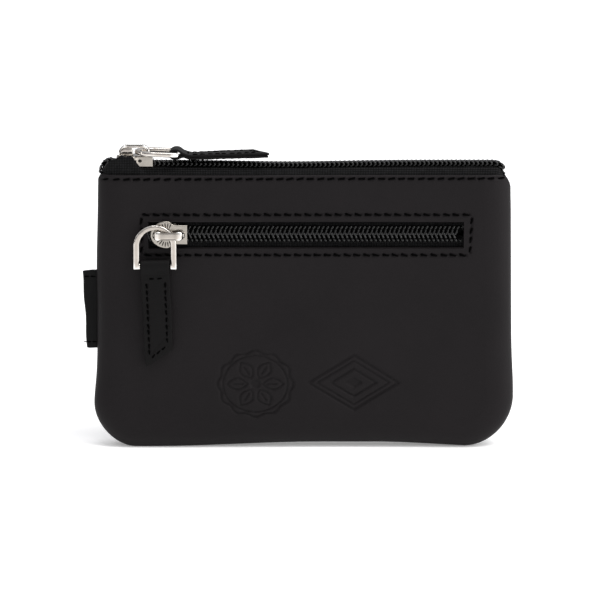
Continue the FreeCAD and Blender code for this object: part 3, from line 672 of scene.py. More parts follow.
front_columns = gathered((-KNEE_X, FRAME_X0 - 1.2, 0.6), (FRAME_X0 - 1.2, WINDOW_X0, 0.34),
                         (WINDOW_X0, -29, 0.6), (-29, 30, 0.38), (30, WINDOW_X1, 0.6),
                         (WINDOW_X1, KNEE_X, 0.34))
front_rows = gathered((KNEE_Z, 32.5, 0.38), (32.5, FRAME_Z0 - 1.2, 1.0),
                      (FRAME_Z0 - 1.2, FRAME_Z0 + 1.2, 0.3),
                      (FRAME_Z0 + 1.2, WINDOW_Z0, 0.5), (WINDOW_Z0, WINDOW_Z1, 1.0),
                      (WINDOW_Z1, FRAME_Z1 - 1.2, 0.5), (FRAME_Z1 - 1.2, FRAME_Z1 + 1.2, 0.3),
                      (FRAME_Z1 + 1.2, STITCH_Z - 1.1, 0.9), (STITCH_Z - 1.1, PANEL_H - 0.55, 0.28))
piece("front_leather", leather_panel(front_columns, front_rows, front_field,
                                     (WINDOW_X0, WINDOW_X1, WINDOW_Z0, WINDOW_Z1)),
      LEATHER, "front_shell", ["front_panel"])

back_columns = gathered((-KNEE_X, KNEE_X, 0.9))
back_rows = gathered((KNEE_Z, STITCH_Z - 1.1, 1.1), (STITCH_Z - 1.1, PANEL_H - 0.55, 0.28))
back_shape = leather_panel(back_columns, back_rows, back_field)
back_shape.points = [p * (1, -1, 1) for p in back_shape.points]
back_shape.faces = [f[::-1] for f in back_shape.faces]
back = piece("back_leather", back_shape, LEATHER, None, ["back_panel"])


# ================================================================ joint ranges, and weights over the cloth the zips open
OPENING_RAMP = 26.0


def opening(x, start, end):
    """0 where a zip holds its two sides together, 1 where they are free."""
    return smooth((x - start) / OPENING_RAMP) * smooth((end - x) / OPENING_RAMP)


def bend(obj, weight):
    """Bakes obj's placement into its mesh and works out a weight for each of its points, in the purse's own
    axes; the weights are not used.
    """
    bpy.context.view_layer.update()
    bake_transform(obj)
    points = np.array([v.co for v in obj.data.vertices], float)
    values = weight((points - ORIGIN) * 1000)


def joint(name):
    return next(j for j in frame["joints"] if j["name"] == name)


MOUTH, POCKET = (joint(name)["range_m"][1] * 1000 for name in ("main_zip_slide", "pocket_zip_slide"))


def mouth_weight(points):
    return opening(points[:, 0], -62.5, MAIN_SLIDER_X + MOUTH - 2)


def pocket_weight(points):
    return opening(points[:, 0], WINDOW_X0 + 1, POCKET_SLIDER_X + POCKET - 3)


def rear(obj):
    bend(obj, mouth_weight)


rear(back)


# ================================================================ stitches
def stitch_paths(middles, along, out, length, lean=0.0, lift=0.12, sink=0.38):
    """Thread paths: each rises out of its hole, lies on the leather and goes back in."""
    along, out = np.asarray(along, float), np.asarray(out, float)
    across = np.cross(out, along)
    s = np.linspace(-1, 1, 9)
    height = lift - (lift + sink) * np.abs(s) ** 5
    tilt = lean + RNG.normal(0, 0.07, len(middles))
    paths = np.asarray(middles, float)[:, None, :] + (along * (length / 2)) * s[:, None]
    return paths + out * height[:, None] + across * (tilt[:, None] * s)[..., None]


def stitch_radius(middle_r):
    """Thickest at one end of the stitch, a black blob of thread that also serves as painted shade for the
    needle hole, and closed at both.
    """
    s = np.linspace(-1, 1, 9)
    return middle_r * np.sqrt(np.clip(1.02 - s ** 8, 0.02, 1)) * (1 - 0.35 * s)


def add_stitches(shape, middles, along, out, length=2.2, radius=0.3, lean=-0.24, **more):
    tubes(shape, stitch_paths(middles, along, out, length, lean, **more), stitch_radius(radius), 7, up=out)


def on_front(middles):
    """Points on the front leather's face from (x, z) pairs."""
    x, z = middles[:, 0], middles[:, 1]
    return np.stack([x, -depth_at(x, z) + undulation(x, z) + 0.2, z], -1)


shape = Shape()
add_stitches(shape, on_front(TOP_SEAM)[::-1], (-1, 0, 0), (0, -1, 0), lean=0.2)
piece("front_top_edge_threads", shape, THREAD, "front_shell", ["front_top_edge_stitching"])

shape = Shape()
for middles in FRAME_SEAMS:
    add_stitches(shape, on_front(middles), (1, 0, 0), (0, -1, 0))
for middles in FRAME_ENDS:
    add_stitches(shape, on_front(middles), (0, 0, -1), (0, -1, 0), length=1.9)
piece("pocket_window_threads", shape, THREAD, "front_shell", ["pocket_window_stitching"])

shape = Shape()
x, z = TOP_SEAM[:, 0], TOP_SEAM[:, 1]
on_back = np.stack([x, depth_at(x, z) - undulation(-x, z) - 0.2, z], -1)
add_stitches(shape, on_back, (1, 0, 0), (0, 1, 0))
rear(piece("back_top_edge_threads", shape, THREAD, None, ["back_top_edge_stitching"]))

shape = Shape()
z = np.arange(16, 70, 3.0)
for side in (-1, 1):
    keep = (z < 29) | (z > 57) | (side > 0)
    points = np.stack([side * (half_width(z[keep]) - 3.6), np.full(keep.sum(), -1.9), z[keep]], -1)
    add_stitches(shape, points, (0, 0, 1), (0, -1, 0), lift=0.2, sink=0.2)
x = np.arange(-51, 52, 3.0)
add_stitches(shape, np.stack([x, np.full(len(x), -1.9), 4.1 + 0 * x], -1), (1, 0, 0), (0, -1, 0), lift=0.2,
             sink=0.2)
piece("perimeter_seam_threads", shape, THREAD, "front_shell", ["perimeter_seam_stitching"])


# ================================================================ zips
def chain(x0, x1, slider_x, side, slant, phase):
    """The coil of one half of a zip as a flattened helix: (x, across, out) for every point.

    Each turn's upper pass leans from the tape to a rounded head at the zip's middle."""
    per_turn = 20
    turns = int((x1 - x0) / COIL_PITCH)
    t = np.arange(turns * per_turn + 1) / per_turn
    angle = 2 * math.pi * (t % 1)
    base = x0 + COIL_PITCH * (np.floor(t) + phase)
    top = angle < math.pi
    share = np.where(top, angle / math.pi, angle / math.pi - 1)
    share = smooth(share) * 0.5 + share * 0.5
    shift = np.where(top, -slant * share, -slant + (slant + COIL_PITCH) * share)
    c, s = np.cos(angle), np.sin(angle)
    across = 1.0 + 1.22 * np.sign(c) * np.abs(c) ** 0.75
    out = 0.98 + 0.66 * np.sign(s) * np.abs(s) ** 0.6
    out = out - np.where(top, 0.5 * np.exp(-((across - 1.36) / 0.24) ** 2), 0)
    out = out - np.where(top, 0.42 * np.exp(-((across - 0.38) / 0.2) ** 2), 0)
    x = base + shift
    return np.stack([x, side * (across + chain_gap(x, x0, slider_x)), out], -1)


def chain_gap(x, x0, slider_x):
    """How far each half stands off the middle: behind the slider's nose, but not at the chain's end."""
    return 1.15 * np.clip((slider_x + 1.8 - x) / 2.3, 0, 1) * smooth((x - x0 - 1.5) / 3.5)


def chain_line(x0, x1, slider_x, side, across, out, wave=0.0):
    """A line along a coil: its sewing thread, or the filler cord inside it."""
    x = np.arange(x0, x1, 0.35)
    rise = out + wave * np.cos(2 * math.pi * x / COIL_PITCH)
    return np.stack([x, side * (across + chain_gap(x, x0, slider_x)), rise], -1)


def pocket_place(local):
    """From a zip's own axes to the pocket's: out is -Y, across is Z."""
    x, across, out = np.moveaxis(np.asarray(local, float), -1, 0)
    return np.stack([x, POCKET_ZIP_Y - out, POCKET_ZIP_Z + across], -1)


END_BEND = 2.5
BEND_AT = {-1: 59.2, 1: 58.3}


def main_place(local):
    """To the purse's mouth: out is +Z, and both ends turn down into the side seams."""
    x, across, out = np.moveaxis(np.asarray(local, float), -1, 0)
    side = np.where(x < 0, -1, 1)
    start = np.where(x < 0, BEND_AT[-1], BEND_AT[1])
    past = np.clip(np.abs(x) - start, 0, None)
    angle = np.clip(past / END_BEND, 0, math.pi / 2)
    drop = np.clip(past - END_BEND * math.pi / 2, 0, None)
    flat = np.minimum(np.abs(x), start)
    rise = MAIN_ZIP_Z - 0.5 * np.exp(-((x + 5) / 22) ** 2) + 0.9 * np.exp(-((x + 60.3) / 1.9) ** 2)
    px = side * (flat + END_BEND * np.sin(angle) + out * np.sin(angle))
    pz = rise - END_BEND + (END_BEND + out) * np.cos(angle) - drop
    return np.stack([px, across, pz], -1)


def coil_piece(name, node_name, chain_args, put, body=None):
    shape = Shape()
    x0, x1, slider_x, side = chain_args[:4]
    line = chain(*chain_args)
    inner = side * line[:, 1] - chain_gap(line[:, 0], x0, slider_x)
    heads = 0.33 + 0.1 * np.exp(-((inner + 0.1) / 0.3) ** 2) + 0.04 * np.exp(-((inner - 1.95) / 0.3) ** 2)
    tubes(shape, put(line)[None], heads[None], 7, up=(0, 0.6, 0.8))
    obj = piece(name, shape, COIL, body, [node_name])
    seam = Shape()
    for across, out, radius, wave in ((1.42, 1.6, 0.15, 0.1), (0.75, 0.95, 0.32, 0), (1.35, 0.95, 0.32, 0)):
        line = chain_line(x0 + 0.5, x1 - 0.5, slider_x, side, across, out, wave)
        tubes(seam, put(line)[None], radius, 6, up=(0, 0.6, 0.8))
    thread = piece(name + "_seam", seam, THREAD, body)
    return obj, thread


pocket_span = (WINDOW_X0 + CHAIN_GAP, WINDOW_X1 - CHAIN_GAP, POCKET_SLIDER_X)
main_span = (-61.9, 61.4, MAIN_SLIDER_X)
coil_piece("pocket_coil_upper", "pocket_zip_upper_coil", (*pocket_span, 1, 1.5, 0.9), pocket_place,
           "front_shell")
for obj in coil_piece("pocket_coil_lower", "pocket_zip_lower_coil", (*pocket_span, -1, 1.5, 0.4),
                      pocket_place):
    bend(obj, pocket_weight)
coil_piece("main_coil_front", "main_zip_front_coil", (*main_span, -1, 1.5, 0.4), main_place, "front_shell")
for obj in coil_piece("main_coil_rear", "main_zip_rear_coil", (*main_span, 1, 1.5, 0.9), main_place):
    rear(obj)


def tape_grid(xs, section, side, slider_x):
    """A tape's grid in a zip's own axes: section holds (across, out) pairs."""
    section = np.array(section, float)
    x = np.broadcast_to(xs[:, None], (len(xs), len(section)))
    across = np.broadcast_to(section[:, 0], x.shape)
    out = np.broadcast_to(section[:, 1], x.shape)
    parted = chain_gap(x, xs[0], slider_x) * smooth((4 - across) / 2.5)
    ripple = 0.05 * np.sin(x * 0.9) * smooth((across - 1.8) / 2)
    return np.stack([x, side * (across + parted), out + ripple], -1)


# the fold that a tape's end pushes up in front of a closed slider's nose: (further out, up)
PUCKER = np.array([(0, 0), (0, 0), (0, 0), (0.05, 0.15), (0.15, 0.7), (0.3, 2.1), (0.45, 4.2), (0.3, 5.1),
                   (0.1, 4.6), (0.05, 3.0), (0, 0.7), (0, 0)])


def tape_piece(name, nodes, xs, section, side, slider_x, put, body=None, pucker=False):
    """A woven tape: its visible face, and the same face half a millimetre further in."""
    local = tape_grid(xs, section, side, slider_x)
    if pucker:
        share = (smooth((xs + 62.4) / 6) * smooth((-49.2 - xs) / 4)
                 * (0.95 + 0.05 * np.sin(xs * 2.1)))[:, None]
        local[..., 1] += side * share * PUCKER[:, 0]
        local[..., 2] += share * PUCKER[:, 1]
    tangent = unit(np.gradient(local, axis=1))
    inward = np.stack([0 * tangent[..., 0], side * tangent[..., 2], -side * tangent[..., 1]], -1) * 0.45
    face, under = put(local), put(local + inward)
    shape = Shape()
    slab(shape, face, under - face)
    return piece(name, shape, TAPE, body, nodes)


pocket_section = [(0.75, 0.05), (1.6, 0.12), (2.3, 0.1), (2.7, 0.22), (3.0, 0.1), (3.8, 0.0), (5.0, -0.05),
                  (7.0, -0.05), (9.0, -0.05), (10.2, -0.05)]
main_section = [(0.75, 0.05), (1.6, 0.12), (2.3, 0.1), (2.7, 0.22), (3.0, 0.05), (3.5, -0.2), (4.1, -0.6),
                (4.7, -1.15), (5.15, -1.8), (5.3, -2.6), (5.3, -4.5), (5.3, -7.5)]
pocket_xs = np.arange(-56, 56.01, 0.8)
main_xs = np.concatenate([-np.arange(57.5, 66, 0.5)[::-1], np.arange(-57, 57.01, 0.8),
                          np.arange(57.5, 65, 0.5)])
tape_piece("pocket_tape_upper", ["pocket_zip_upper_tape"], pocket_xs, pocket_section, 1, POCKET_SLIDER_X,
           pocket_place, "front_shell")
bend(tape_piece("pocket_tape_lower", ["pocket_zip_lower_tape"], pocket_xs, pocket_section, -1,
                POCKET_SLIDER_X, pocket_place),
     lambda p: pocket_weight(p) * smooth((p[:, 2] - FRAME_Z0 - 0.6) / 3.0))
tape_piece("main_tape_front", ["main_zip_front_tape", "main_zip_left_tail", "main_zip_right_tail"], main_xs,
           main_section, -1, MAIN_SLIDER_X, main_place, "front_shell", pucker=True)
rear(tape_piece("main_tape_rear", ["main_zip_rear_tape"], main_xs, main_section, 1, MAIN_SLIDER_X,
                main_place))


# ================================================================ linings
def cloth(name, nodes, path, reach, body=None, thickness=0.3, waves=0.12):
    """A lining sheet: path holds (y, z) from its foot to its top, and reach its half width there."""
    path = np.array(path, float)
    share = np.linspace(0, 1, 45)
    run = np.concatenate([[0], np.cumsum(np.hypot(*np.diff(path, axis=0).T))])
    y = np.interp(share * run[-1], run, path[:, 0])
    z = np.interp(share * run[-1], run, path[:, 1])
    u = np.linspace(-1, 1, 70)
    foot = 1 - 0.16 * (1 - smooth((z - 1.5) / 9))
    x = u[:, None] * ((half_width(z) - reach) * foot)[None, :]
    depth = y[None, :] + waves * np.sin(x * 0.21 + z[None, :] * 0.13) * smooth((1 - np.abs(u))[:, None] * 6)
    grid = np.stack([x, depth, np.broadcast_to(z, x.shape)], -1)
    shape = Shape()
    slab(shape, grid, np.array([0, thickness, 0]))
    obj = piece(name, shape, LINING, body, nodes, sharp=60)
    flat = (2 * (half_width(40) - reach) / 1000, run[-1] / 1000)
    return obj, flat


divider, flat = cloth("pocket_divider_cloth", ["pocket_divider"], [(-0.35, 3.2), (-0.35, 71), (-4.85, 79),
                                                                  (-4.85, 84.2)], 2.6, "front_shell")
lining, flat = cloth("pocket_lining_cloth", ["pocket_lining"], [(-5.25, 7.5), (-5.25, 55.5)], 6.5,
                     "front_shell", waves=0.05)
lining, flat = cloth("back_lining_cloth", ["back_lining"], [(4.9, 7.5), (4.9, 79)], 6.5, waves=0.05)
rear(lining)


# ================================================================ folded straps
def strap(path, c0, c1, thickness, step, edge_r):
    """A flat strap that follows path, points (a, b) in a plane, and spans c0 to c1 across it.
    Gives (along, round the section, (c, a, b))."""
    path = np.array(path, float)
    tangent = unit(np.gradient(path, axis=0))
    normal = np.stack([tangent[:, 1], -tangent[:, 0]], -1)
    half = thickness / 2
    turn = np.linspace(0, math.pi / 2, 4)
    flat = np.linspace(c0 + edge_r, c1 - edge_r, max(3, round((c1 - c0) / step)))
    ring = [(c, half) for c in flat]
    ring += [(c1 - edge_r + edge_r * math.sin(a), half - edge_r + edge_r * math.cos(a)) for a in turn[1:]]
    ring += [(c, -n) for c, n in ring[::-1] if c >= c1 - edge_r + 1e-9]
    ring += [(c, -half) for c in flat[::-1]]
    ring += [(c0 + edge_r - edge_r * math.sin(a), -half + edge_r - edge_r * math.cos(a)) for a in turn[1:]]
    ring += [(c0 + edge_r - edge_r * math.sin(a), half - edge_r + edge_r * math.cos(a)) for a in turn[:0:-1]]
    ring = np.array(ring)
    points = np.empty((len(path), len(ring), 3))
    points[..., 0] = ring[:, 0]
    points[..., 1:] = path[:, None, :] + normal[:, None, :] * ring[None, :, 1:2]
    return points


def strap_shape(points):
    shape = Shape()
    index = shape.add(points)
    shape.quads(index, close_v=True, flip=True)
    shape.cap(index[0], flip=True)
    shape.cap(index[-1])
    return shape


TAB_W, TAB_SLANT, TAB_NECK, LEAF_T = 8.6, 5.3, 4.2, 0.72
FOLD_REACH = 1.75


def tab_rows(length):
    """Stitch middles on a tab's face: (x, z, along x, along z), with its foot at z = -length."""
    side_x = TAB_W / 2 - 1.5
    top, left = -3.7, -length + 3.6
    right = left + TAB_SLANT * 0.66
    rows = [((-side_x, top - 1.3), (-side_x - 0.1, left)), ((side_x, top - 1.0), (side_x - 0.1, right)),
            ((-side_x + 0.5, left - 0.5), (side_x - 0.5, right - 0.7)),
            ((-side_x + 0.5, top), (side_x - 0.3, top + 0.1))]
    found = []
    for start, end in rows:
        along = unit(np.array(end) - np.array(start))
        found += [(*p, *along) for p in seam_points(start, end, 2.15, 0.1)]
    return np.array(found)


def tab_piece(name, length, node_names, body, put, sway):
    """A strap folded round the ring's bar, its two leaves sewn together."""
    reach = 0.92 + LEAF_T / 2
    leaf_y = LEAF_T / 2 + 0.03
    z_blade = np.arange(-length, -2.5, 0.42)
    z_neck = np.linspace(-2.5, -0.45, 8)
    y_neck = -lerp(leaf_y, reach * 0.96, smooth((z_neck + 2.5) / (2.5 - 0.45)))
    front_half = np.concatenate([np.stack([np.full(len(z_blade), -leaf_y), z_blade], -1),
                                 np.stack([y_neck, z_neck], -1)])
    turn = np.linspace(math.pi + 0.1, -0.1, 17)
    bend_over = np.stack([reach * np.cos(turn), FOLD_REACH * np.sin(turn)], -1)
    path = np.concatenate([front_half, bend_over, front_half[::-1] * (-1, 1)])
    points = strap(path, -TAB_W / 2, TAB_W / 2, LEAF_T, 0.4, 0.22)
    x, y, z = points[..., 0], points[..., 1], points[..., 2]
    stitches = tab_rows(length)
    outside = np.abs(y) > leaf_y + LEAF_T * 0.3
    dent = np.zeros_like(x)
    for cx, cz, ax, az in stitches:
        along = (x - cx) * ax + (z - cz) * az
        off = (x - cx) * az - (z - cz) * ax
        dent = np.maximum(dent, 0.2 * np.exp(-(off / 0.42) ** 2 - (along / 0.95) ** 4))
    blade = smooth((-TAB_NECK + 0.5 - z) / 1.5)
    soft = 0.06 * np.sin(x * 1.1 + z * 0.4) + 0.05 * np.sin(z * 0.9 + 1)
    y -= np.sign(y) * np.where(outside, dent + soft * 0.5, 0) * blade
    own_length = length - TAB_SLANT * (x + TAB_W / 2) / TAB_W
    under = 0.35 * (y > 0) * blade
    z[...] = np.where(z < -TAB_NECK, -TAB_NECK + (z + TAB_NECK) * (own_length - under - TAB_NECK)
                      / (length - TAB_NECK), z)
    x += 0.1 * np.sin(z * 0.35 + 0.6) * blade

    def swayed(p):
        p = np.array(p, float)
        down = np.clip(-p[..., 2] - TAB_NECK, 0, None)
        twist = sway[0] * down / length
        p[..., 1] += sway[1] * smooth((-p[..., 2] - 1.0) / 4) + sway[2] * down / length
        p[..., 1] += p[..., 0] * np.sin(twist)
        return put(p)

    piece(name, strap_shape(swayed(points)), PULL_LEATHER, body, [node_names[0]])
    shape = Shape()
    for out in (-1, 1):
        for cx, cz, ax, az in stitches:
            middle = np.array([[cx, out * (leaf_y + LEAF_T / 2 - 0.16), cz]])
            path = stitch_paths(middle, (ax, 0, az), (0, out, 0), 1.6, 0.1, 0.12, 0.3)
            tubes(shape, swayed(path), stitch_radius(0.27), 6, up=(0.3, 0.8, 0.52))
    knot = np.array([[-TAB_W / 2 + 2.35, -(leaf_y + LEAF_T / 2 + 0.02), -length + 3.2]])
    ball = knot[:, None, :] + np.linspace(-0.3, 0.3, 5)[None, :, None] * np.array([0.6, 0, 0.8])
    tubes(shape, swayed(ball), 0.26 * np.array([0.4, 0.9, 1, 0.9, 0.4]), 7, up=(0.3, 0.8, 0.52))
    piece(name + "_threads", shape, THREAD, body, [node_names[1]])


def joint_place(name):
    return (np.array(joint(name)["pos_m"]) - ORIGIN) * 1000


def turn_about(points, axis, degrees):
    c, s = math.cos(math.radians(degrees)), math.sin(math.radians(degrees))
    i, j = {"x": (1, 2), "y": (2, 0), "z": (0, 1)}[axis]
    turned = np.array(points, float)
    turned[..., i] = points[..., i] * c - points[..., j] * s
    turned[..., j] = points[..., i] * s + points[..., j] * c
    return turned


POCKET_BAR, MAIN_BAR = joint_place("pocket_tab_swing"), joint_place("main_tab_swing")


def on_pocket_bar(points):
    return turn_about(turn_about(points, "x", 2.9), "y", -1.7) + POCKET_BAR


def on_main_bar(points):
    lying = turn_about(turn_about(points, "x", -90), "z", 90)
    return turn_about(lying, "y", -1.5) + MAIN_BAR


tab_piece("pocket_tab_leather", 31.4, ["pocket_pull_tab", "pocket_pull_tab_stitching"], "pocket_tab",
          on_pocket_bar, (0.0, 0.0, 0.0))
tab_piece("main_tab_leather", 28.5, ["main_pull_tab", "main_pull_tab_stitching"], "main_tab",
          on_main_bar, (-0.05, 1.0, -0.3))


# ---------------------------------------------------------------- side loop
LOOP_LOW, LOOP_HIGH = panel_box("side_loop")
ANCHOR_X = panel_box("side_loop_anchor")[1][0]
FOLD_R = 0.55
loop_out = LOOP_LOW[0] + FOLD_R + 0.43
x_run = np.arange(ANCHOR_X, loop_out, -0.5)
turn = np.linspace(-math.pi / 2, -3 * math.pi / 2, 13)
fold = np.stack([loop_out + FOLD_R * np.cos(turn), FOLD_R * np.sin(turn)], -1)
leaf = np.stack([x_run, np.full(len(x_run), -FOLD_R)], -1)
path = np.concatenate([leaf, fold, leaf[::-1] * (1, -1)])
points = strap(path, LOOP_LOW[2], LOOP_HIGH[2], 0.82, 0.6, 0.2)
z, x, y = points[..., 0].copy(), points[..., 1].copy(), points[..., 2].copy()
free = smooth((-64.6 - x) / 2.0)
LOOP_STITCH_ZS = (LOOP_LOW[2] + 1.9, LOOP_HIGH[2] - 1.9)
for stitch_z in LOOP_STITCH_ZS:
    y -= np.sign(y) * free * 0.16 * np.exp(-((z - stitch_z) / 0.4) ** 2) * (np.abs(y) > FOLD_R)
middle_z = (LOOP_LOW[2] + LOOP_HIGH[2]) / 2
y += np.sign(y) * 0.12 * free * np.cos((z - middle_z) / 8.2) * (np.abs(y) > 0.1)
x -= free * (0.18 - 0.75 * (middle_z - z) / 24.0)
x += free * 0.12 * np.sin(z * 0.5)
z += free * np.where(z > middle_z, 0.25 * (x + 65) / 3.0, -0.05) * np.abs(z - middle_z) / 12
side_loop = piece("side_loop_strap", strap_shape(np.stack([x, y, z], -1)), SHADED_LOOP_LEATHER, None,
                  ["side_loop", "side_loop_anchor"])


def loop_weight(points):
    return smooth((-64.2 - points[:, 0]) / 1.6)


bend(side_loop, loop_weight)
shape = Shape()
for out in (-1, 1):
    for stitch_z in LOOP_STITCH_ZS:
        middles = np.array([[x, out * (FOLD_R + 0.36), stitch_z] for x in (-65.2, -67.1)])
        add_stitches(shape, middles, (1, 0, 0), (0, out, 0), length=1.7, radius=0.2, lean=0.0, sink=0.3)
tail = np.array([[[-67.9, -0.7, LOOP_STITCH_ZS[0]], [-68.4, -0.8, LOOP_LOW[2] + 1.95],
                  [-68.8, -0.75, LOOP_LOW[2] + 2.1]]])
tubes(shape, tail, [0.16, 0.13, 0.08], 5, up=(0, 0, 1))
threads_obj = piece("side_loop_threads", shape, THREAD, None, ["side_loop_stitching"])
bend(threads_obj, loop_weight)


# ================================================================ metal parts
for name in ("main_slider_body", "pocket_slider_body"):
    obj = NODES[name]
    obj.data.materials.clear()
    obj.data.materials.append(NICKEL)

RING_R, RING_H, RING_TURN = 5.62, 11.9, 0.92


def sweep(shape, path, side_way, section, closed):
    """A bar of a given section, (across, along side_way) pairs, along a path."""
    path = np.asarray(path, float)
    if closed:
        tangent = unit(np.roll(path, -1, 0) - np.roll(path, 1, 0))
    else:
        tangent = unit(np.gradient(path, axis=0))
    side_way = np.broadcast_to(np.asarray(side_way, float), path.shape)
    normal = unit(np.cross(side_way, tangent))
    section = np.asarray(section, float)
    if section.ndim == 2:
        section = np.broadcast_to(section, (len(path), *section.shape))
    points = path[:, None] + normal[:, None] * section[..., :1] + side_way[:, None] * section[..., 1:]
    index = shape.add(points)
    shape.quads(index, close_u=closed, close_v=True, flip=True)
    if not closed:
        shape.cap(index[0], flip=True)
        shape.cap(index[-1])


def rounded_bar(half_a, half_b, power, count=20):
    turn = np.linspace(0, 2 * math.pi, count, endpoint=False)
    c, s = np.cos(turn), np.sin(turn)
    return np.stack([half_a * np.sign(c) * np.abs(c) ** power, half_b * np.sign(s) * np.abs(s) ** power], -1)


def ring_line():
    """A D ring's middle line, (x, z), from the top of its arch, with square lower corners."""
    arc = np.linspace(0, math.pi, 37)
    arch_part = np.stack([-RING_R * np.cos(arc), RING_R * np.sin(arc) - RING_R], -1)
    leg = np.linspace(-RING_R, -RING_H + RING_TURN, 8)[1:-1]
    corner = np.array([(RING_R, -RING_H + RING_TURN), (RING_R, -RING_H), (RING_R - RING_TURN, -RING_H)])
    bar = np.linspace(RING_R - RING_TURN, -RING_R + RING_TURN, 32)[1:-1]
    return np.concatenate([arch_part, np.stack([np.full(len(leg), RING_R), leg], -1), corner,
                           np.stack([bar, np.full(len(bar), -RING_H)], -1), corner[::-1] * (-1, 1),
                           np.stack([np.full(len(leg), -RING_R), leg[::-1]], -1)])


def ring_piece(name, node_name, body, top, sideways, down):
    """A pull ring of half-flat wire, its faces bevelled, thinner inside the tab's fold and the crown."""
    line = ring_line()
    in_fold = (line[:, 1] < -RING_H + 0.01) * smooth((4.6 - np.abs(line[:, 0])) / 0.3)
    in_crown = smooth((line[:, 1] + 2.2) / 1.2)
    mitre = np.where(np.all(np.isclose(np.abs(line), (RING_R, RING_H)), axis=1), math.sqrt(2), 1)
    size = 1 - 0.26 * in_fold - 0.1 * in_crown
    section = rounded_bar(0.9, 0.76, 0.62, 28)[None] * np.stack([size * mitre, size], -1)[:, None]
    path = top + line[:, :1] * np.array(sideways) - line[:, 1:] * np.array(down)
    shape = Shape()
    sweep(shape, path, unit(np.cross(sideways, down)), section, True)
    return piece(name, shape, HIGHLIGHTED_NICKEL, body, [node_name])


low, high = panel_box("pocket_pull_ring")
ring_piece("pocket_ring_wire", "pocket_pull_ring", "pocket_ring",
           np.array([(low[0] + high[0]) / 2, (low[1] + high[1]) / 2, high[2] - 0.8]), (1, 0, 0), (0, 0, -1))
MAIN_SLOT = joint_place("main_ring_swing")
ring_piece("main_ring_wire", "main_pull_ring", "main_ring", MAIN_SLOT, (0, 1, 0),
           (MAIN_BAR - MAIN_SLOT) / RING_H)


def on_slider(pocket):
    """Carries points from a zip's own axes (along from its slider, across, out) to the purse's."""
    def put(points):
        u, v, w = np.moveaxis(np.asarray(points, float), -1, 0)
        if pocket:
            return np.stack([u + POCKET_SLIDER_X, POCKET_ZIP_Y - w, POCKET_ZIP_Z + v], -1)
        return np.stack([u + MAIN_SLIDER_X, v, MAIN_ZIP_Z + w], -1)
    return put


DECK, PLATE = 6.1, 3.3         # how far out a crown's deck and a slider's top plate are
# (where the shoulder starts, its length, its height), left and right, for the main and the pocket crown
CROWN_SHOULDERS = {False: ((-1.7, 2.2, 2.3), (3.3, 1.55, 2.0)), True: ((-2.35, 1.2, 1.25), (3.65, 1.2, 1.25))}
CROWN_HOLE = {False: (0.25, 2.9), True: (-1.5, 4.1)}       # left free for the ring's wire


def crown_piece(name, node_name, body, pocket):
    """The bridge over a slider: a bar with knobbed shoulders and a waist."""
    put, side_way = on_slider(pocket), (0, 0, 1) if pocket else (0, 1, 0)
    turn = np.linspace(0, math.pi / 2, 9)
    (left_u, left_r, left_h), (right_u, right_r, right_h) = CROWN_SHOULDERS[pocket]
    left = np.stack([left_u - left_r * np.cos(turn), DECK - left_h + left_h * np.sin(turn)], -1)
    right = np.stack([right_u + right_r * np.cos(turn[::-1]),
                      DECK - right_h + right_h * np.sin(turn[::-1])], -1)
    first, last = left[0, 0], right[-1, 0]
    line = np.concatenate([[(first, 3.35), (first, 3.6)], left,
                           np.stack([np.linspace(left_u, right_u, 15)[1:-1], np.full(13, DECK)], -1), right,
                           [(last, 3.6), (last, 3.35)]])
    knob = (sum(np.exp(-((line[:, 0] - at) / 0.75) ** 2) for at in (-2.5, 3.8))
            * smooth((line[:, 1] - 5.2) / 0.7))
    section = rounded_bar(0.4, 1.0, 0.55)[None] * np.stack([1 + 0.35 * knob, 1.12 + 0.26 * knob], -1)[:, None]
    shape = Shape()
    sweep(shape, put(np.stack([line[:, 0], 0 * line[:, 0], line[:, 1]], -1)), side_way, section, False)
    for side in (-1, 1):
        edge = np.stack([line[3:-3, 0], np.full(len(line) - 6, side * 0.98), line[3:-3, 1] + 0.2], -1)
        tubes(shape, put(edge)[None], 0.2, 6, up=(0.3, 0.5, 0.8))
    for low, high in ((first + 0.05, CROWN_HOLE[pocket][0]), (CROWN_HOLE[pocket][1], last - 0.05)):
        u = np.linspace(low, high, 12)
        top = np.interp(u, line[2:-2, 0], line[2:-2, 1])
        half = rounded_bar(1, 1, 0.5)[None] * np.stack([(top - PLATE) / 2, np.full(12, 0.85)], -1)[:, None]
        sweep(shape, put(np.stack([u, 0 * u, (top + PLATE) / 2], -1)), side_way, half, False)
    if not pocket:
        for u in np.arange(-2.0, 3.5, 0.62):
            rib = np.stack([np.full(5, u), np.linspace(-0.95, 0.95, 5), [6.42, 6.5, 6.53, 6.5, 6.42]], -1)
            tubes(shape, put(rib)[None], 0.17, 6, up=(0.8, 0.1, 0.6))
    piece(name, shape, HIGHLIGHTED_NICKEL, body, [node_name])


def groove_shade_piece(name, body, pocket):
    """Dark tubes laid in rays on the nose plate of a slider, and in a slit in each of its sides: painted
    shade standing in for the shade inside the grooves and slits.
    """
    shape, put = Shape(), on_slider(pocket)
    r = np.linspace(2.15, 3.65, 5)
    for side in (-1, 1):
        for k in range(6):
            angle = math.radians(side * (90 + 15 * (k - 1.5)))
            ray = np.stack([r * math.cos(angle), r * math.sin(angle), np.full(5, PLATE + 0.04)], -1)
            tubes(shape, put(ray)[None], [[0.06, 0.15, 0.17, 0.15, 0.06]], 6, up=(0.2, 0.5, 0.8))
    for side in (-1, 1):
        slit = [(1.75, side * 2.9, 2.0), (2.1, side * 2.93, 2.0), (2.6, side * 2.93, 2.0),
                (2.95, side * 2.9, 2.0)]
        tubes(shape, put(slit)[None], [[0.3, 0.5, 0.5, 0.3]], 8, up=(0.1, 0.3, 0.9))
    piece(name, shape, GROOVE_SHADE, body)


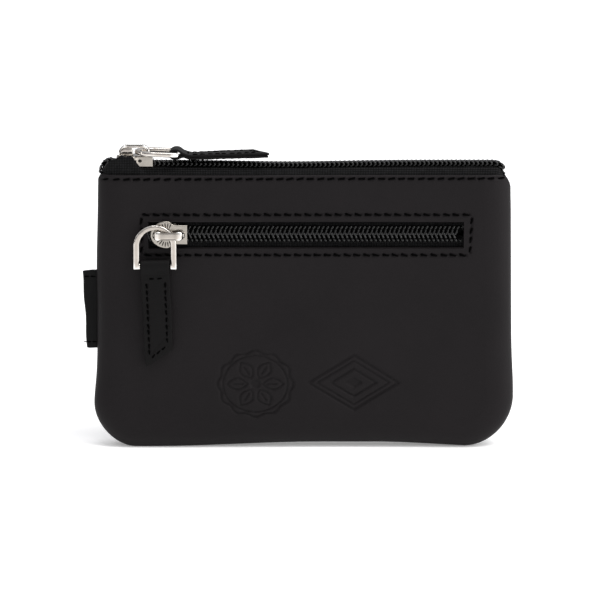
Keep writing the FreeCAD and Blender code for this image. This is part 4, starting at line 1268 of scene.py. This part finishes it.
crown_piece("pocket_crown_bridge", "pocket_slider_crown", "pocket_slider", True)
crown_piece("main_crown_bridge", "main_slider_crown", "main_slider", False)
groove_shade_piece("pocket_slider_groove_shade", "pocket_slider", True)
groove_shade_piece("main_slider_groove_shade", "main_slider", False)


# ================================================================ floor, light and camera
FLOOR, floor_tree, floor_shader = new_material("floor", Roughness=0.9, Specular_IOR_Level=0.1,
                                               Emission_Strength=0.25, Emission_Color=(0.98, 0.975, 0.965, 1))
feed(floor_tree, floor_shader, Base_Color=ramp(floor_tree, noise(floor_tree, place(floor_tree), 0.01, 2),
                                               (0.3, (0.93, 0.93, 0.935)), (0.7, (0.95, 0.95, 0.955))))
bpy.ops.mesh.primitive_plane_add(size=12, location=(0, 0, CAD_LOW.z))
floor = bpy.context.object
floor.name = "floor"
floor.data.materials.append(FLOOR)

world = bpy.data.worlds.new("studio")
bpy.context.scene.world = world
world.use_nodes = True
backdrop = world.node_tree.nodes["Background"]
backdrop.inputs["Color"].default_value = (0.975, 0.98, 1.0, 1)
sky = node(world.node_tree, "ShaderNodeTexCoord")
bright_side = node(world.node_tree, "ShaderNodeVectorMath", [(0, sky.outputs["Generated"])],
                   operation="DOT_PRODUCT")
bright_side.inputs[1].default_value = (0.66, -0.1, 0.745)
feed(world.node_tree, backdrop,
     Strength=spread(world.node_tree, bright_side.outputs["Value"], 0.1, 1.05, -0.6, 0.8))


def aimed(obj, towards):
    obj.rotation_euler = Vector(towards).to_track_quat("-Z", "Y").to_euler()


def light(name, kind, power, colour, **values):
    data = bpy.data.lights.new(name, kind)
    data.energy, data.color = power, colour
    for key, value in values.items():
        setattr(data, key, value)
    return added(name, data)


SOFTBOX_TARGET = Vector((0, 0, 0.05))
sun = light("sun", "SUN", 1.2, (1.0, 0.985, 0.96), angle=math.radians(24))
aimed(sun, -Vector((0.42, -0.3, 0.86)))
for name, at, (width, height), power in (("right", (0.85, -0.25, 0.32), (0.4, 0.55), 3.4),
                                         ("left", (-1.05, -0.15, 0.3), (0.12, 0.5), 0.6),
                                         ("top", (-0.1, -0.35, 1.2), (0.4, 0.2), 2.2)):
    box = light(name, "AREA", power, (1.0, 0.99, 0.975), shape="RECTANGLE", size=width, size_y=height)
    box.location = at
    aimed(box, SOFTBOX_TARGET - Vector(at))

CAMERA_DISTANCE = 0.8
CAMERA_ELEVATION = math.radians(10.5)
FRAME_MM = 182.1
AIM = Vector(((CAD_LOW.x + CAD_HIGH.x) / 2 - 0.0003, CAD_LOW.y, 0.0477))
camera = added("camera", bpy.data.cameras.new("camera"))
camera.data.sensor_width = 36
camera.data.lens = 36 * CAMERA_DISTANCE * 1000 / FRAME_MM
camera.data.clip_start = 0.05
camera.location = AIM + Vector((0, -math.cos(CAMERA_ELEVATION), math.sin(CAMERA_ELEVATION))) * CAMERA_DISTANCE
aimed(camera, AIM - camera.location)
bpy.context.scene.camera = camera
bpy.context.scene.view_settings.view_transform = "Standard"
